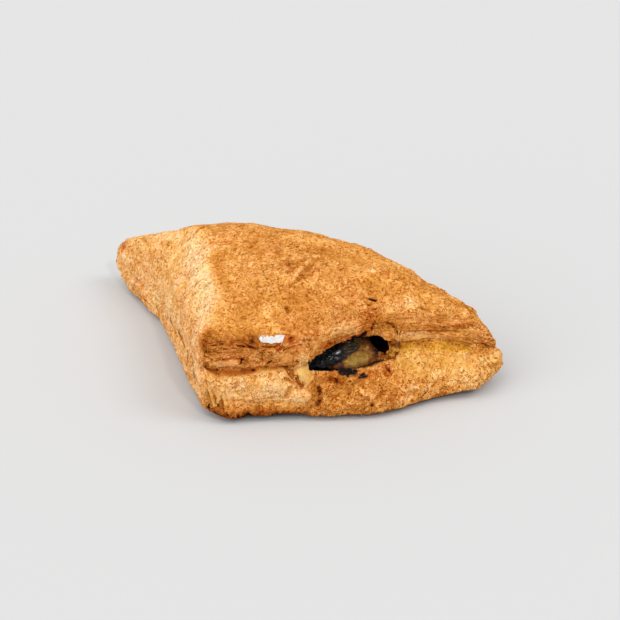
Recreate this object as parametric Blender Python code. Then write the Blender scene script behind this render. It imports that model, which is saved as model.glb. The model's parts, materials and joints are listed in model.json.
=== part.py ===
"""A filled puff-pastry triangle: a square of layered dough folded over an aubergine filling.

The long side is the fold. The two short sides are cut edges, pressed together along a seam that has
burst open in the front, where the filling shows. Metres, +Z up, the burst side facing -Y.
"""

import math

import bmesh
import bpy
import numpy as np
from mathutils import Matrix, Vector

MM = 0.001

# Stations round the outline seen from above, anticlockwise from the square corner of the folded dough.
# Each gives its place on the table, then one (distance, height) for every level: the first levels are
# measured straight out of the outline, the last two from the outline towards the crown. All mm.
OUTER_LEVELS = ("sole", "skirt", "belly", "lower_lip", "seam", "upper_lip", "rim")
INNER_LEVELS = ("shoulder", "plateau")
LEVELS = OUTER_LEVELS + INNER_LEVELS
STATIONS = (
    # the square corner
    ((1.2, -4.3), (-7, 2.5), (0, 4), (1, 11), (0, 19), (-1.5, 20.5), (0, 22), (-1, 32), (4, 34), (11, 38)),
    ((11, -7.3), (-6, 0), (0, 2), (1, 10), (0, 19), (-1.5, 20.5), (0, 22), (-1, 30), (8, 35), (18, 38.5)),
    # the burst front
    ((34, -11.3), (-6, 0), (0, 2), (1, 10), (0, 19), (-1.5, 20.5), (0, 22), (-2, 31), (10, 36), (24, 40)),
    ((59, -18.2), (-6, 0), (0, 2), (-1, 9), (-7, 17.5), (-9.5, 20), (-9.5, 22.5), (-14, 32), (22, 36.5), (36, 40.5)),
    ((84, -13.3), (-6, 0), (0, 2.5), (-1, 9), (-8, 18), (-10.5, 20.5), (-10.5, 24), (-13, 30), (25, 36), (42, 41)),
    ((102, -12), (-8, 1.5), (-1, 3.5), (0, 9), (-5.5, 15.5), (-8, 18), (-7.5, 20), (-11, 26), (27, 35), (43, 40)),
    # the right tip
    ((112.1, -3.8), (-12, 3.5), (-2.5, 5), (0, 8), (-1, 11.5), (-3, 13.5), (-2.5, 15.5), (-8, 23), (19, 31.5), (42, 41)),
    # the fold
    ((103, 11), (-8, 2.5), (0, 5), (1, 10), (-1, 17), (-2, 20), (-2.5, 23.5), (-5, 29.5), (17, 34), (35, 40.5)),
    ((78, 37), (-8, 0), (0, 3), (4, 12), (4, 20), (3.5, 25), (2.5, 30), (-4.5, 35.5), (9, 41), (22, 43.5)),
    ((53, 59), (-8, 0), (0, 3), (5, 12), (5, 20), (4.5, 26), (4, 32), (-1.5, 38.5), (8, 43), (17, 45)),
    ((27, 83), (-8, 0), (0, 3), (4, 12), (4, 18), (3.5, 22), (3, 26), (-3, 33), (10, 39), (20, 43)),
    ((2, 105), (-5, 1), (0, 3), (3, 8), (2, 12), (1.5, 14.5), (1, 17), (-4, 23), (18, 30), (40, 41.5)),
    # the left tip
    ((-12, 112), (-9, 4), (-3, 5.5), (0, 9), (0, 11), (-0.5, 12), (0, 13), (-3, 18), (20, 27), (50, 41.5)),
    ((-10.8, 101.5), (-3, 1.5), (0, 3), (0.5, 6), (0.5, 9), (-0.5, 10), (0, 11.5), (-1.5, 18), (20, 30), (42, 42)),
    # the left side
    ((-3.2, 74), (-6, 0), (0, 2), (0.5, 5.5), (0.5, 8.5), (-0.5, 9.5), (0, 11), (-4, 26), (13, 31), (25, 41)),
    ((-0.6, 42), (-6, 0), (0, 2), (0.5, 6), (0.5, 10), (-0.5, 11), (0, 13), (-1, 26), (4, 31.5), (12, 40.5)),
    ((0.2, 14), (-6, 1), (0, 3), (1, 9), (0.5, 15), (-0.5, 16.5), (0, 18), (-0.5, 29), (3, 32.5), (10, 39)),
)
COLUMNS = (4, 8, 14, 14, 7, 5, 5, 6, 7, 6, 6, 5, 5, 6, 6, 6, 5)  # mesh columns from each station to the next

CROWN = (40, 32, 44.5)  # middle of the top
SIDE_ROWS = (2, 3, 3, 1, 1, 3, 4, 4)  # mesh rows from each level to the next
TOP_ROWS = 6
SOLE_ROWS = 3
SOLE_FACE = 0.70  # the flat face under the pastry, as a share of the sole's outline
EASING_ROUNDS = 8

# The burst mouth: its first and last mesh columns, and how far each lip is drawn back and up at its widest.
MOUTH = (14, 31)
MOUTH_SKEW = 1.4  # above 1 the mouth is widest past its middle
MOUTH_FULLNESS = 0.6  # lower for blunter ends
LOWER_LIP_PULL = (0.5, -1.0)
UPPER_LIP_PULL = (4.0, 4.5)

# The pocket behind the mouth, from front to back: (x, y, z) of its middle, half width, half height.
POCKET = (
    (53, -3, 21, 18, 4),
    (51, 3, 21, 23, 8),
    (47, 13, 21, 28, 11),
    (43, 26, 22, 28, 13),
    (39, 38, 23, 24, 12),
    (36, 46, 23, 16, 8),
    (35, 49, 23, 8, 4),
)
POCKET_SQUARENESS = 2.6  # 2 for an elliptic section, higher for a squarer one
POCKET_STEPS = 2  # mesh rows from each place in POCKET to the next

FILLING_GAP = 0.9
FILLING_START = 1  # the first pocket ring the filling reaches
FILLING_CAP_ROWS = 4
# The front of the filling: how far back it stands at a height, how fast it leans back with height, and how
# far it steps back behind the strip of skin and at the hollow in the right end of the mouth.
FRONT_PLACE = (-8.6, 19.0)
FRONT_LEAN = 0.55
FRONT_STEP = 2.4
STEP_START = (38, 18.0)  # the x and z where the step begins
STEP_CLIMB = 0.22
HOLLOW_DEPTH = 11.0
HOLLOW_START = (60.5, 21.0)  # the x and z where the hollow begins; it leans to the left with height
HOLLOW_EDGE = 4.5  # how wide the slope into the hollow is

# The strip of aubergine skin on the front of the filling: its course, from left to right, and its own sizes.
SKIN_PATH = ((37.6, -7.4, 21.0), (41, -6.5, 21.6), (44.5, -6.1, 22.1), (48, -5.9, 23), (52, -5.7, 24), (55, -5.4, 24.7))
SKIN_WIDTH = 4.4
SKIN_THICKNESS = 1.2
SKIN_BULGE = 0.7
SKIN_LEAN = math.radians(28)
SKIN_STEPS = 4
SKIN_SIDES = 12


def material(name, colour, roughness):
    finish = bpy.data.materials.new(name)
    finish.use_nodes = True
    shader = finish.node_tree.nodes["Principled BSDF"]
    shader.inputs["Base Color"].default_value = (*colour, 1.0)
    shader.inputs["Roughness"].default_value = roughness
    shader.inputs["Metallic"].default_value = 0.0
    return finish


def outward(index):
    """Level direction that points out of the outline at a station."""
    before, here, after = (Vector(STATIONS[(index + k) % len(STATIONS)][0]) for k in (-1, 0, 1))
    along = (here - before).normalized() + (after - here).normalized()
    return Vector((along.y, -along.x)).normalized()


def level_points(level):
    """The points of one level of the side at the stations."""
    points = []
    for index, (at, *offsets) in enumerate(STATIONS):
        distance, height = offsets[LEVELS.index(level)]
        if level in INNER_LEVELS:
            heading = (Vector(CROWN[:2]) - Vector(at)).normalized()
        else:
            heading = outward(index)
        flat = Vector(at) + distance * heading
        points.append(Vector((flat.x, flat.y, height)) * MM)
    return points


def curve(points, knots, share):
    """A point between the middle two of four points on the smooth line through them."""
    a, b, c, d = points
    ab, bc, cd = knots
    pull_b = ((b - a) / ab - (c - a) / (ab + bc) + (c - b) / bc) * bc
    pull_c = ((c - b) / bc - (d - b) / (bc + cd) + (d - c) / cd) * bc
    square, cube = share**2, share**3
    return (
        b * (2 * cube - 3 * square + 1)
        + pull_b * (cube - 2 * square + share)
        + c * (3 * square - 2 * cube)
        + pull_c * (cube - square)
    )


def opening(column):
    """How far the mouth is open at a mesh column, from 0 to 1."""
    first, last = MOUTH
    share = min(max((column - first) / (last - first), 0), 1)
    return math.sin(math.pi * share**MOUTH_SKEW) ** MOUTH_FULLNESS


def rail(level):
    """A closed smooth line round the side, through one level of every station."""
    points = level_points(level)
    count = len(points)
    base = [Vector(station[0]) for station in STATIONS]
    gaps = [(base[(k + 1) % count] - base[k]).length ** 0.5 for k in range(count)]
    line = []
    for index, columns in enumerate(COLUMNS):
        near = [points[(index + k) % count] for k in (-1, 0, 1, 2)]
        knots = [gaps[(index + k) % count] for k in (-1, 0, 1)]
        line += [curve(near, knots, step / columns) for step in range(columns)]
    for place in line:
        place.z = max(place.z, 0)
    back, up = {"lower_lip": LOWER_LIP_PULL, "upper_lip": UPPER_LIP_PULL}.get(level, (0, 0))
    for column in range(MOUTH[0] + 1, MOUTH[1]):
        line[column] += Vector((0, back, up)) * (opening(column) * MM)
    return line


def side_rings():
    """Rings up the side of the pastry, from the sole to the edge of its plateau."""
    columns = list(zip(*(rail(level) for level in LEVELS)))
    last = len(LEVELS) - 1
    rings = []
    for piece, rows in enumerate(SIDE_ROWS):
        for row in range(rows):
            ring = []
            for column in columns:
                near = [column[min(max(piece + k, 0), last)] for k in (-1, 0, 1, 2)]
                knots = [max((near[k + 1] - near[k]).length, 0.001) ** 0.5 for k in range(3)]
                ring.append(curve(near, knots, row / rows))
            rings.append(ring)
    rings.append([column[-1] for column in columns])
    return rings


def fitted_dome(edge):
    """The smooth low dome that comes closest to the edge of the plateau and passes the crown."""
    places = edge + [Vector(CROWN) * MM] * len(edge)
    spots = np.array([dome_terms(place) for place in places])
    heights = np.array([place.z for place in places])
    return np.linalg.lstsq(spots, heights, rcond=None)[0]


def dome_terms(place):
    return (1.0, place.x, place.y, place.x * place.x, place.x * place.y, place.y * place.y)


def top_rings(edge):
    """Rings from just inside the edge of the plateau to the crown, and the crown itself."""
    dome = fitted_dome(edge)
    crown = Vector(CROWN) * MM
    rings = []
    for row in range(1, TOP_ROWS + 1):
        share = 1 - row / TOP_ROWS
        ring = []
        for start in edge:
            place = crown.lerp(start, share)
            misfit = start.z - np.dot(dome, dome_terms(start))
            place.z = np.dot(dome, dome_terms(place)) + misfit * share**3
            ring.append(place)
        rings.append(ring)
    return rings[:-1], rings[-1][0]


def sole_rings(sole):
    """Rings of the underside, from its flat face out to the sole."""
    middle = Vector((CROWN[0], CROWN[1], 0)) * MM
    rings = []
    for row in range(SOLE_ROWS):
        share = SOLE_FACE + (1 - SOLE_FACE) * row / SOLE_ROWS
        ring = []
        for edge in sole:
            place = middle.lerp(edge, share)
            place.z = edge.z * (row / SOLE_ROWS) ** 2
            ring.append(place)
        rings.append(ring)
    return rings


def grown(mesh, ring, places):
    """Extrudes a closed ring of vertices to new places and returns the new ring, in the same order."""
    edges = [mesh.edges.get((ring[k - 1], ring[k])) for k in range(len(ring))]
    made = bmesh.ops.extrude_edge_only(mesh, edges=edges)["geom"]
    fresh = {item for item in made if isinstance(item, bmesh.types.BMVert)}
    partner = {edge.other_vert(vert): vert for vert in fresh for edge in vert.link_edges}
    for vert, place in zip(ring, places):
        partner[vert].co = place
    return [partner[vert] for vert in ring]


def closed_with_pole(mesh, ring, pole):
    """Closes a ring of vertices with triangles that meet at one point."""
    edges = [mesh.edges.get((ring[k - 1], ring[k])) for k in range(len(ring))]
    cap = bmesh.ops.contextual_create(mesh, geom=edges)["faces"]
    bmesh.ops.poke(mesh, faces=cap)["verts"][0].co = pole


def started(places, flat):
    """A new mesh with its first ring of vertices, closed by one flat face if asked."""
    mesh = bmesh.new()
    bmesh.ops.create_circle(mesh, cap_ends=False, radius=1.0, segments=len(places))
    mesh.verts.ensure_lookup_table()
    ring = list(mesh.verts)
    for vert, place in zip(ring, places):
        vert.co = place
    if flat:
        bmesh.ops.contextual_create(mesh, geom=list(mesh.edges))
    return mesh, ring


def finished(name, mesh, colour, roughness):
    """Turns a mesh into a named object with its own material."""
    bmesh.ops.recalc_face_normals(mesh, faces=mesh.faces)
    data = bpy.data.meshes.new(name)
    mesh.to_mesh(data)
    mesh.free()
    data.shade_smooth()
    data.materials.append(material(name, colour, roughness))
    made = bpy.data.objects.new(name, data)
    bpy.context.scene.collection.objects.link(made)
    return made


def eased(rings, crown):
    """The rings with every point above the rim drawn towards the middle of its neighbours."""
    grid = np.array(rings + [[crown] * len(rings[0])])
    for _ in range(EASING_ROUNDS):
        middle = grid[1:-1]
        across = (np.roll(middle, 1, axis=1) + np.roll(middle, -1, axis=1)) / 2
        along = (grid[:-2] + grid[2:]) / 2
        grid[1:-1] = middle / 2 + (across + along) / 4
    return [[Vector(place) for place in ring] for ring in grid[:-1]]


def pocket_place(depth, turn):
    """A point on the pocket's wall; depth counts places of POCKET, turn runs anticlockwise from the right."""
    piece = min(int(depth), len(POCKET) - 2)
    last = len(POCKET) - 1
    near = [Vector(POCKET[min(max(piece + k, 0), last)]) for k in (-1, 0, 1, 2)]
    x, y, z, half_width, half_height = curve(near, (1, 1, 1), depth - piece)
    ahead = Vector(near[2][:2]) - Vector(near[1][:2])
    across = Vector((ahead.y, -ahead.x, 0)).normalized()
    power = 2 / POCKET_SQUARENESS
    sideways = math.copysign(abs(math.cos(turn)) ** power, math.cos(turn)) * half_width
    upwards = math.copysign(abs(math.sin(turn)) ** power, math.sin(turn)) * half_height
    return (Vector((x, y, z + upwards)) + across * sideways) * MM


def pocket_rings(edge):
    """Rings of the pocket from just behind the mouth's edge to its end."""
    count = len(edge)
    turns = [math.pi + 2 * math.pi * step / count for step in range(count)]
    rings = []
    for row in range(1, (len(POCKET) - 1) * POCKET_STEPS + 1):
        depth = row / POCKET_STEPS
        blend = min(depth / 1.5, 1)
        rings.append([place.lerp(pocket_place(depth, turn), blend) for place, turn in zip(edge, turns)])
    return rings


def open_pocket(mesh, rows):
    """Takes out the faces between the lips at the mouth and hangs the pocket on the hole's edge."""
    first, last = MOUTH
    lower, seam, upper = rows
    loop = lower[first : last + 1] + [seam[last]] + upper[first : last + 1][::-1] + [seam[first]]
    inner = seam[first + 1 : last]
    bmesh.ops.delete(mesh, geom=inner, context="VERTS")
    ring = loop
    rings = pocket_rings([vert.co.copy() for vert in loop])
    for places in rings:
        ring = grown(mesh, ring, places)
    closed_with_pole(mesh, ring, Vector(POCKET[-1][:3]) * MM)
    return rings


def make_pastry():
    """The dough all round, with the pocket in it. Also returns the places of the pocket's rings."""
    side = side_rings()
    top, crown = top_rings(side[-1])
    rim = sum(SIDE_ROWS[: LEVELS.index("rim")])
    rings = sole_rings(side[0]) + side[:rim] + eased(side[rim:] + top, crown)
    mesh, ring = started(rings[0], flat=True)
    rows = [ring]
    for places in rings[1:]:
        rows.append(grown(mesh, rows[-1], places))
    closed_with_pole(mesh, rows[-1], crown)
    lip = SOLE_ROWS + sum(SIDE_ROWS[: LEVELS.index("lower_lip")])
    pocket = open_pocket(mesh, rows[lip : lip + 3])
    return finished("pastry", mesh, (0.76, 0.44, 0.17), 0.5), pocket


def shrunk(rings, gap):
    """The pocket's rings moved off its wall by a gap. Seen from the front they run anticlockwise."""
    moved = []
    for row, ring in enumerate(rings):
        before, after = rings[max(row - 1, 0)], rings[min(row + 1, len(rings) - 1)]
        places = []
        for index, place in enumerate(ring):
            along = ring[(index + 1) % len(ring)] - ring[index - 1]
            deeper = after[index] - before[index]
            places.append(place + along.cross(deeper).normalized() * (gap * MM))
        moved.append(places)
    return moved


def eased_step(share):
    share = min(max(share, 0), 1)
    return share * share * (3 - 2 * share)


def hollow(place):
    """How far the filling falls back from the mouth at a place, in mm."""
    past = place.x / MM - HOLLOW_START[0] + place.z / MM - HOLLOW_START[1]
    return HOLLOW_DEPTH * eased_step(past / HOLLOW_EDGE)


def filling_front(place):
    """The distance of the filling's front at the x and z of a place, in mm."""
    y, z = FRONT_PLACE
    lean = FRONT_LEAN * (place.z / MM - z)
    above_step = place.z / MM - STEP_START[1] - STEP_CLIMB * (place.x / MM - STEP_START[0])
    return y + lean + FRONT_STEP * eased_step(above_step) + hollow(place)


def make_filling(pocket):
    """The aubergine flesh that fills the pocket, with a gap all round."""
    rings = shrunk(pocket, FILLING_GAP)[FILLING_START:-1]
    for row, ring in enumerate(rings[:3]):
        for place in ring:
            place.y += hollow(place) * (1 - row / 3) ** 2 * MM
    middle = sum(rings[0], Vector()) / len(rings[0])
    cap = []
    for row in range(1, FILLING_CAP_ROWS + 1):
        share = row / FILLING_CAP_ROWS
        ring = []
        for edge in rings[0]:
            place = middle.lerp(edge, share)
            place.y = edge.y + (filling_front(place) * MM - edge.y) * (1 - share**4)
            ring.append(place)
        cap.append(ring)
    mesh, ring = started(cap[0], flat=False)
    closed_with_pole(mesh, ring, Vector((middle.x, filling_front(middle) * MM, middle.z)))
    for places in cap[1:] + rings[1:]:
        ring = grown(mesh, ring, places)
    closed_with_pole(mesh, ring, sum(rings[-1], Vector()) / len(ring))
    return finished("filling", mesh, (0.42, 0.30, 0.09), 0.35)


def make_skin():
    """The strip of skin: a bowed band that narrows towards its ends."""
    course = [Vector(point) for point in SKIN_PATH]
    last = len(course) - 1
    count = last * SKIN_STEPS
    upwards = Vector((0, math.sin(SKIN_LEAN), math.cos(SKIN_LEAN)))
    outwards = Vector((0, -math.cos(SKIN_LEAN), math.sin(SKIN_LEAN)))
    rings = []
    for step in range(count + 1):
        piece = min(step // SKIN_STEPS, last - 1)
        near = [course[min(max(piece + k, 0), last)] for k in (-1, 0, 1, 2)]
        middle = curve(near, (1, 1, 1), step / SKIN_STEPS - piece)
        taper = 0.35 + 0.65 * math.sin(math.pi * (0.06 + 0.88 * step / count)) ** 0.5
        ring = []
        for side in range(SKIN_SIDES):
            turn = 2 * math.pi * side / SKIN_SIDES
            across = math.cos(turn) * SKIN_WIDTH / 2 * taper
            bow = SKIN_BULGE * (1 - math.cos(turn) ** 2) * taper
            depth = math.sin(turn) * SKIN_THICKNESS / 2 * taper + bow
            ring.append((middle + upwards * across + outwards * depth) * MM)
        rings.append(ring)
    mesh, ring = started(rings[0], flat=False)
    closed_with_pole(mesh, ring, sum(rings[0], Vector()) / SKIN_SIDES)
    for places in rings[1:]:
        ring = grown(mesh, ring, places)
    closed_with_pole(mesh, ring, sum(rings[-1], Vector()) / SKIN_SIDES)
    return finished("aubergine_skin", mesh, (0.03, 0.02, 0.02), 0.2)


def stand_on_origin(made):
    """Moves everything so that the middle of the underside of its bounding box is the origin."""
    places = [vert.co for thing in made for vert in thing.data.vertices]
    low = Vector([min(place[axis] for place in places) for axis in range(3)])
    high = Vector([max(place[axis] for place in places) for axis in range(3)])
    shift = Matrix.Translation((-(low.x + high.x) / 2, -(low.y + high.y) / 2, -low.z))
    for thing in made:
        thing.data.transform(shift)


def main():
    for leftover in list(bpy.data.objects):
        bpy.data.objects.remove(leftover)
    pastry, pocket = make_pastry()
    stand_on_origin([pastry, make_filling(pocket), make_skin()])


main()
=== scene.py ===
# A filled puff pastry triangle that burst open on one side while it baked, lying on a pale table.
# Shapes are worked out in mm in the pastry's own plan: x runs along the burst side, y away from it,
# z up, with the square corner of the folded dough near the origin. At the end they are moved onto
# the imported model.
import json
import math
import random

import bmesh
import bpy
import numpy as np
from mathutils import Matrix, Vector, noise
from mathutils.bvhtree import BVHTree

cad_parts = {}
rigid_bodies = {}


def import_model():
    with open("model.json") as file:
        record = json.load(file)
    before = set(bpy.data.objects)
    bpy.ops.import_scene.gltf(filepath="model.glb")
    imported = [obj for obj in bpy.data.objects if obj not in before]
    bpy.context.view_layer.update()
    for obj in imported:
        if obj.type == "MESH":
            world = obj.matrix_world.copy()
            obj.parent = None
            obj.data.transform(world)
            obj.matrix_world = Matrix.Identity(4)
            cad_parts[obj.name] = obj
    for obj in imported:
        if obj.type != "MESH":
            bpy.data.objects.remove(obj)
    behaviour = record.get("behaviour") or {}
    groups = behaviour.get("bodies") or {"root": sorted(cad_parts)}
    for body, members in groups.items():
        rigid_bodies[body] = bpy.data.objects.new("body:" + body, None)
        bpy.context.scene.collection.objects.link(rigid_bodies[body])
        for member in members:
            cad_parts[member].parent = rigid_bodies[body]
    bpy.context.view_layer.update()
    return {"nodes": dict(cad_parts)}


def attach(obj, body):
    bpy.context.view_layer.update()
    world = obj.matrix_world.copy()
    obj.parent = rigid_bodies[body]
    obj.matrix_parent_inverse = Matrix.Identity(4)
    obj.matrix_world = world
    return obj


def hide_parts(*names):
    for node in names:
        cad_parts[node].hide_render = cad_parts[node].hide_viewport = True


for leftover in list(bpy.data.objects):
    bpy.data.objects.remove(leftover)
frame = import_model()
mm = 0.001
noise.seed_set(1)  # noise_vector would take its offsets from the clock
print("packed model loaded")

# Every station: its place on the table, then (distance, height) for each level. Up to the rim the
# distance is measured straight out of the outline, the last two towards the crown.
dough = {
    "levels": ("sole", "skirt", "belly", "lowerLip", "seam", "upperLip", "rim", "shoulder", "plateau"),
    "stations": (
        ((1.2, -4.3), (-7, 2.5), (0, 4), (1, 11), (0, 19), (-1.5, 20.5),
         (0, 22), (-1, 32), (4, 34), (11, 38)),
        ((11, -7.3), (-6, 0), (0, 2), (1, 10), (0, 19), (-1.5, 20.5),
         (0, 22), (-1, 30), (8, 35), (18, 38.5)),
        ((34, -11.3), (-6, 0), (0, 2), (1, 10), (0, 19), (-1.5, 20.5),
         (0, 22), (-2, 31), (10, 36), (24, 40)),
        ((59, -18.2), (-6, 0), (0, 2), (-1, 9), (-7, 17.5), (-9.5, 20),
         (-9.5, 22.5), (-14, 32), (22, 36.5), (36, 40.5)),
        ((84, -13.3), (-6, 0), (0, 2.5), (-1, 9), (-8, 18), (-10.5, 20.5),
         (-10.5, 24), (-13, 30), (25, 36), (42, 41)),
        ((102, -12), (-8, 1.5), (-1, 3.5), (0, 9), (-5.5, 15.5), (-8, 18),
         (-7.5, 20), (-11, 26), (27, 35), (43, 40)),
        ((112.1, -3.8), (-12, 3.5), (-2.5, 5), (0, 8), (-1, 11.5), (-3, 13.5),
         (-2.5, 15.5), (-8, 23), (19, 31.5), (42, 41)),
        ((103, 11), (-8, 2.5), (0, 5), (1, 10), (-1, 17), (-2, 20),
         (-2.5, 23.5), (-5, 29.5), (17, 34), (35, 40.5)),
        ((78, 37), (-8, 0), (0, 3), (4, 12), (4, 20), (3.5, 25),
         (2.5, 30), (-4.5, 35.5), (9, 41), (22, 43.5)),
        ((53, 59), (-8, 0), (0, 3), (5, 12), (5, 20), (4.5, 26),
         (4, 32), (-1.5, 38.5), (8, 43), (17, 45)),
        ((27, 83), (-8, 0), (0, 3), (4, 12), (4, 18), (3.5, 22),
         (3, 26), (-3, 33), (10, 39), (20, 43)),
        ((2, 105), (-5, 1), (0, 3), (3, 8), (2, 12), (1.5, 14.5),
         (1, 17), (-4, 23), (18, 30), (40, 41.5)),
        ((-12, 112), (-9, 4), (-3, 5.5), (0, 9), (0, 11), (-0.5, 12),
         (0, 13), (-3, 18), (20, 27), (50, 41.5)),
        ((-10.8, 101.5), (-3, 1.5), (0, 3), (0.5, 6), (0.5, 9), (-0.5, 10),
         (0, 11.5), (-1.5, 18), (20, 30), (42, 42)),
        ((-3.2, 74), (-6, 0), (0, 2), (0.5, 5.5), (0.5, 8.5), (-0.5, 9.5),
         (0, 11), (-4, 26), (13, 31), (25, 41)),
        ((-0.6, 42), (-6, 0), (0, 2), (0.5, 6), (0.5, 10), (-0.5, 11),
         (0, 13), (-1, 26), (4, 31.5), (12, 40.5)),
        ((0.2, 14), (-6, 1), (0, 3), (1, 9), (0.5, 15), (-0.5, 16.5),
         (0, 18), (-0.5, 29), (3, 32.5), (10, 39)),
    ),
    "columns": (4, 8, 14, 14, 8, 7, 7, 10, 10, 10, 10, 9, 8, 10, 11, 11, 9),  # from each station to the next
    "rows": (2, 4, 5, 1, 1, 7, 6, 6),  # from each level to the next
    "topRows": 13,
    "soleRows": 2,
    "soleFace": 0.70,
    "crown": (40, 32, 44.5),
    "easingRounds": 12,
    "mouth": (14, 31),  # first and last column of the burst
    "mouthSkew": 1.4,
    "mouthFullness": 0.6,
    "lowerLipPull": (0.5, -1.0),
    "upperLipPull": (4.0, 4.5),
    "pocket": (
        (53, -3, 21, 18, 4),
        (51, 3, 21, 23, 8),
        (47, 13, 21, 28, 11),
        (43, 26, 22, 28, 13),
        (39, 38, 23, 24, 12),
        (36, 46, 23, 16, 8),
        (35, 49, 23, 8, 4),
    ),
    "pocketSquareness": 2.6,
    "pocketSteps": 2,
    "detail": 2,  # subdivision levels of the crust
    "triangles": 192000,  # what the crust is thinned to where it is smooth
}


def outward(index):
    stations = dough["stations"]
    before, here, after = (Vector(stations[(index + k) % len(stations)][0]) for k in (-1, 0, 1))
    along = (here - before).normalized() + (after - here).normalized()
    return Vector((along.y, -along.x)).normalized()


def levelPoints(level):
    crown = Vector(dough["crown"][:2])
    points = []
    for index, (at, *offsets) in enumerate(dough["stations"]):
        distance, height = offsets[dough["levels"].index(level)]
        heading = (crown - Vector(at)).normalized() if level in ("shoulder", "plateau") else outward(index)
        flat = Vector(at) + distance * heading
        points.append(Vector((flat.x, flat.y, height)))
    return points


def curve(points, knots, share):
    # the smooth line through four points, between the middle two
    a, b, c, d = points
    ab, bc, cd = knots
    pullB = ((b - a) / ab - (c - a) / (ab + bc) + (c - b) / bc) * bc
    pullC = ((c - b) / bc - (d - b) / (bc + cd) + (d - c) / cd) * bc
    square, cube = share**2, share**3
    return (
        b * (2 * cube - 3 * square + 1)
        + pullB * (cube - 2 * square + share)
        + c * (3 * square - 2 * cube)
        + pullC * (cube - square)
    )


def opening(column):
    first, last = dough["mouth"]
    share = min(max((column - first) / (last - first), 0), 1)
    return math.sin(math.pi * share ** dough["mouthSkew"]) ** dough["mouthFullness"]


def rail(level):
    # a closed line round the dough through one level of every station
    points = levelPoints(level)
    count = len(points)
    base = [Vector(station[0]) for station in dough["stations"]]
    gaps = [(base[(k + 1) % count] - base[k]).length ** 0.5 for k in range(count)]
    line = []
    for index, columns in enumerate(dough["columns"]):
        near = [points[(index + k) % count] for k in (-1, 0, 1, 2)]
        knots = [gaps[(index + k) % count] for k in (-1, 0, 1)]
        line += [curve(near, knots, step / columns) for step in range(columns)]
    for place in line:
        place.z = max(place.z, 0)
    back, up = {"lowerLip": dough["lowerLipPull"], "upperLip": dough["upperLipPull"]}.get(level, (0, 0))
    for column in range(dough["mouth"][0] + 1, dough["mouth"][1]):
        line[column] += Vector((0, back, up)) * opening(column)
    return line


def sideRings():
    columns = list(zip(*(rail(level) for level in dough["levels"])))
    last = len(dough["levels"]) - 1
    rings = []
    for piece, rows in enumerate(dough["rows"]):
        for row in range(rows):
            ring = []
            for column in columns:
                near = [column[min(max(piece + k, 0), last)] for k in (-1, 0, 1, 2)]
                knots = [max((near[k + 1] - near[k]).length, 0.001) ** 0.5 for k in range(3)]
                ring.append(curve(near, knots, row / rows))
            rings.append((piece + row / rows, ring))
    rings.append((last, [column[-1] for column in columns]))
    return rings


def domeTerms(place):
    return (1.0, place.x, place.y, place.x * place.x, place.x * place.y, place.y * place.y)


def topRings(edge):
    # a smooth low dome that comes closest to the plateau's edge, and what it misses fades inwards
    crown = Vector(dough["crown"])
    known = edge + [crown] * len(edge)
    dome = np.linalg.lstsq(
        np.array([domeTerms(place) for place in known]), np.array([place.z for place in known]), rcond=None
    )[0]
    rings = []
    for row in range(1, dough["topRows"] + 1):
        share = 1 - row / dough["topRows"]
        ring = []
        for start in edge:
            place = crown.lerp(start, share)
            misfit = start.z - np.dot(dome, domeTerms(start))
            place.z = np.dot(dome, domeTerms(place)) + misfit * share**3
            ring.append(place)
        rings.append((9 - share, ring))
    return rings[:-1], rings[-1][1][0]


def soleRings(sole):
    middle = Vector((*dough["crown"][:2], 0))
    rows = dough["soleRows"]
    rings = []
    for row in range(rows):
        share = dough["soleFace"] + (1 - dough["soleFace"]) * row / rows
        ring = [middle.lerp(edge, share) for edge in sole]
        for place, edge in zip(ring, sole):
            place.z = edge.z * (row / rows) ** 2
        rings.append((row / rows - 1, ring))
    return rings


def eased(rings, crown):
    # the slope above the rim, smoothed without moving the rim or the crown
    grid = np.array([ring for _, ring in rings] + [[crown] * len(rings[0][1])])
    for _ in range(dough["easingRounds"]):
        middle = grid[1:-1]
        across = (np.roll(middle, 1, axis=1) + np.roll(middle, -1, axis=1)) / 2
        along = (grid[:-2] + grid[2:]) / 2
        grid[1:-1] = middle / 2 + (across + along) / 4
    return [(level, [Vector(place) for place in ring]) for (level, _), ring in zip(rings, grid)]


def grown(mesh, ring, places):
    # extrudes a closed ring of vertices to new places
    edges = [mesh.edges.get((ring[k - 1], ring[k])) for k in range(len(ring))]
    made = bmesh.ops.extrude_edge_only(mesh, edges=edges)["geom"]
    fresh = {item for item in made if isinstance(item, bmesh.types.BMVert)}
    partner = {edge.other_vert(vert): vert for vert in fresh for edge in vert.link_edges}
    for vert, place in zip(ring, places):
        partner[vert].co = place
    return [partner[vert] for vert in ring]


def closedWithPole(mesh, ring, pole):
    edges = [mesh.edges.get((ring[k - 1], ring[k])) for k in range(len(ring))]
    cap = bmesh.ops.contextual_create(mesh, geom=edges)["faces"]
    point = bmesh.ops.poke(mesh, faces=cap)["verts"][0]
    point.co = pole
    return point


def startedRing(places, flat, layers=()):
    mesh = bmesh.new()
    for name in layers:
        mesh.verts.layers.float.new(name)
    bmesh.ops.create_circle(mesh, cap_ends=False, radius=1.0, segments=len(places))
    mesh.verts.ensure_lookup_table()
    ring = list(mesh.verts)
    for vert, place in zip(ring, places):
        vert.co = place
    if flat:
        bmesh.ops.contextual_create(mesh, geom=list(mesh.edges))
    return mesh, ring


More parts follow.
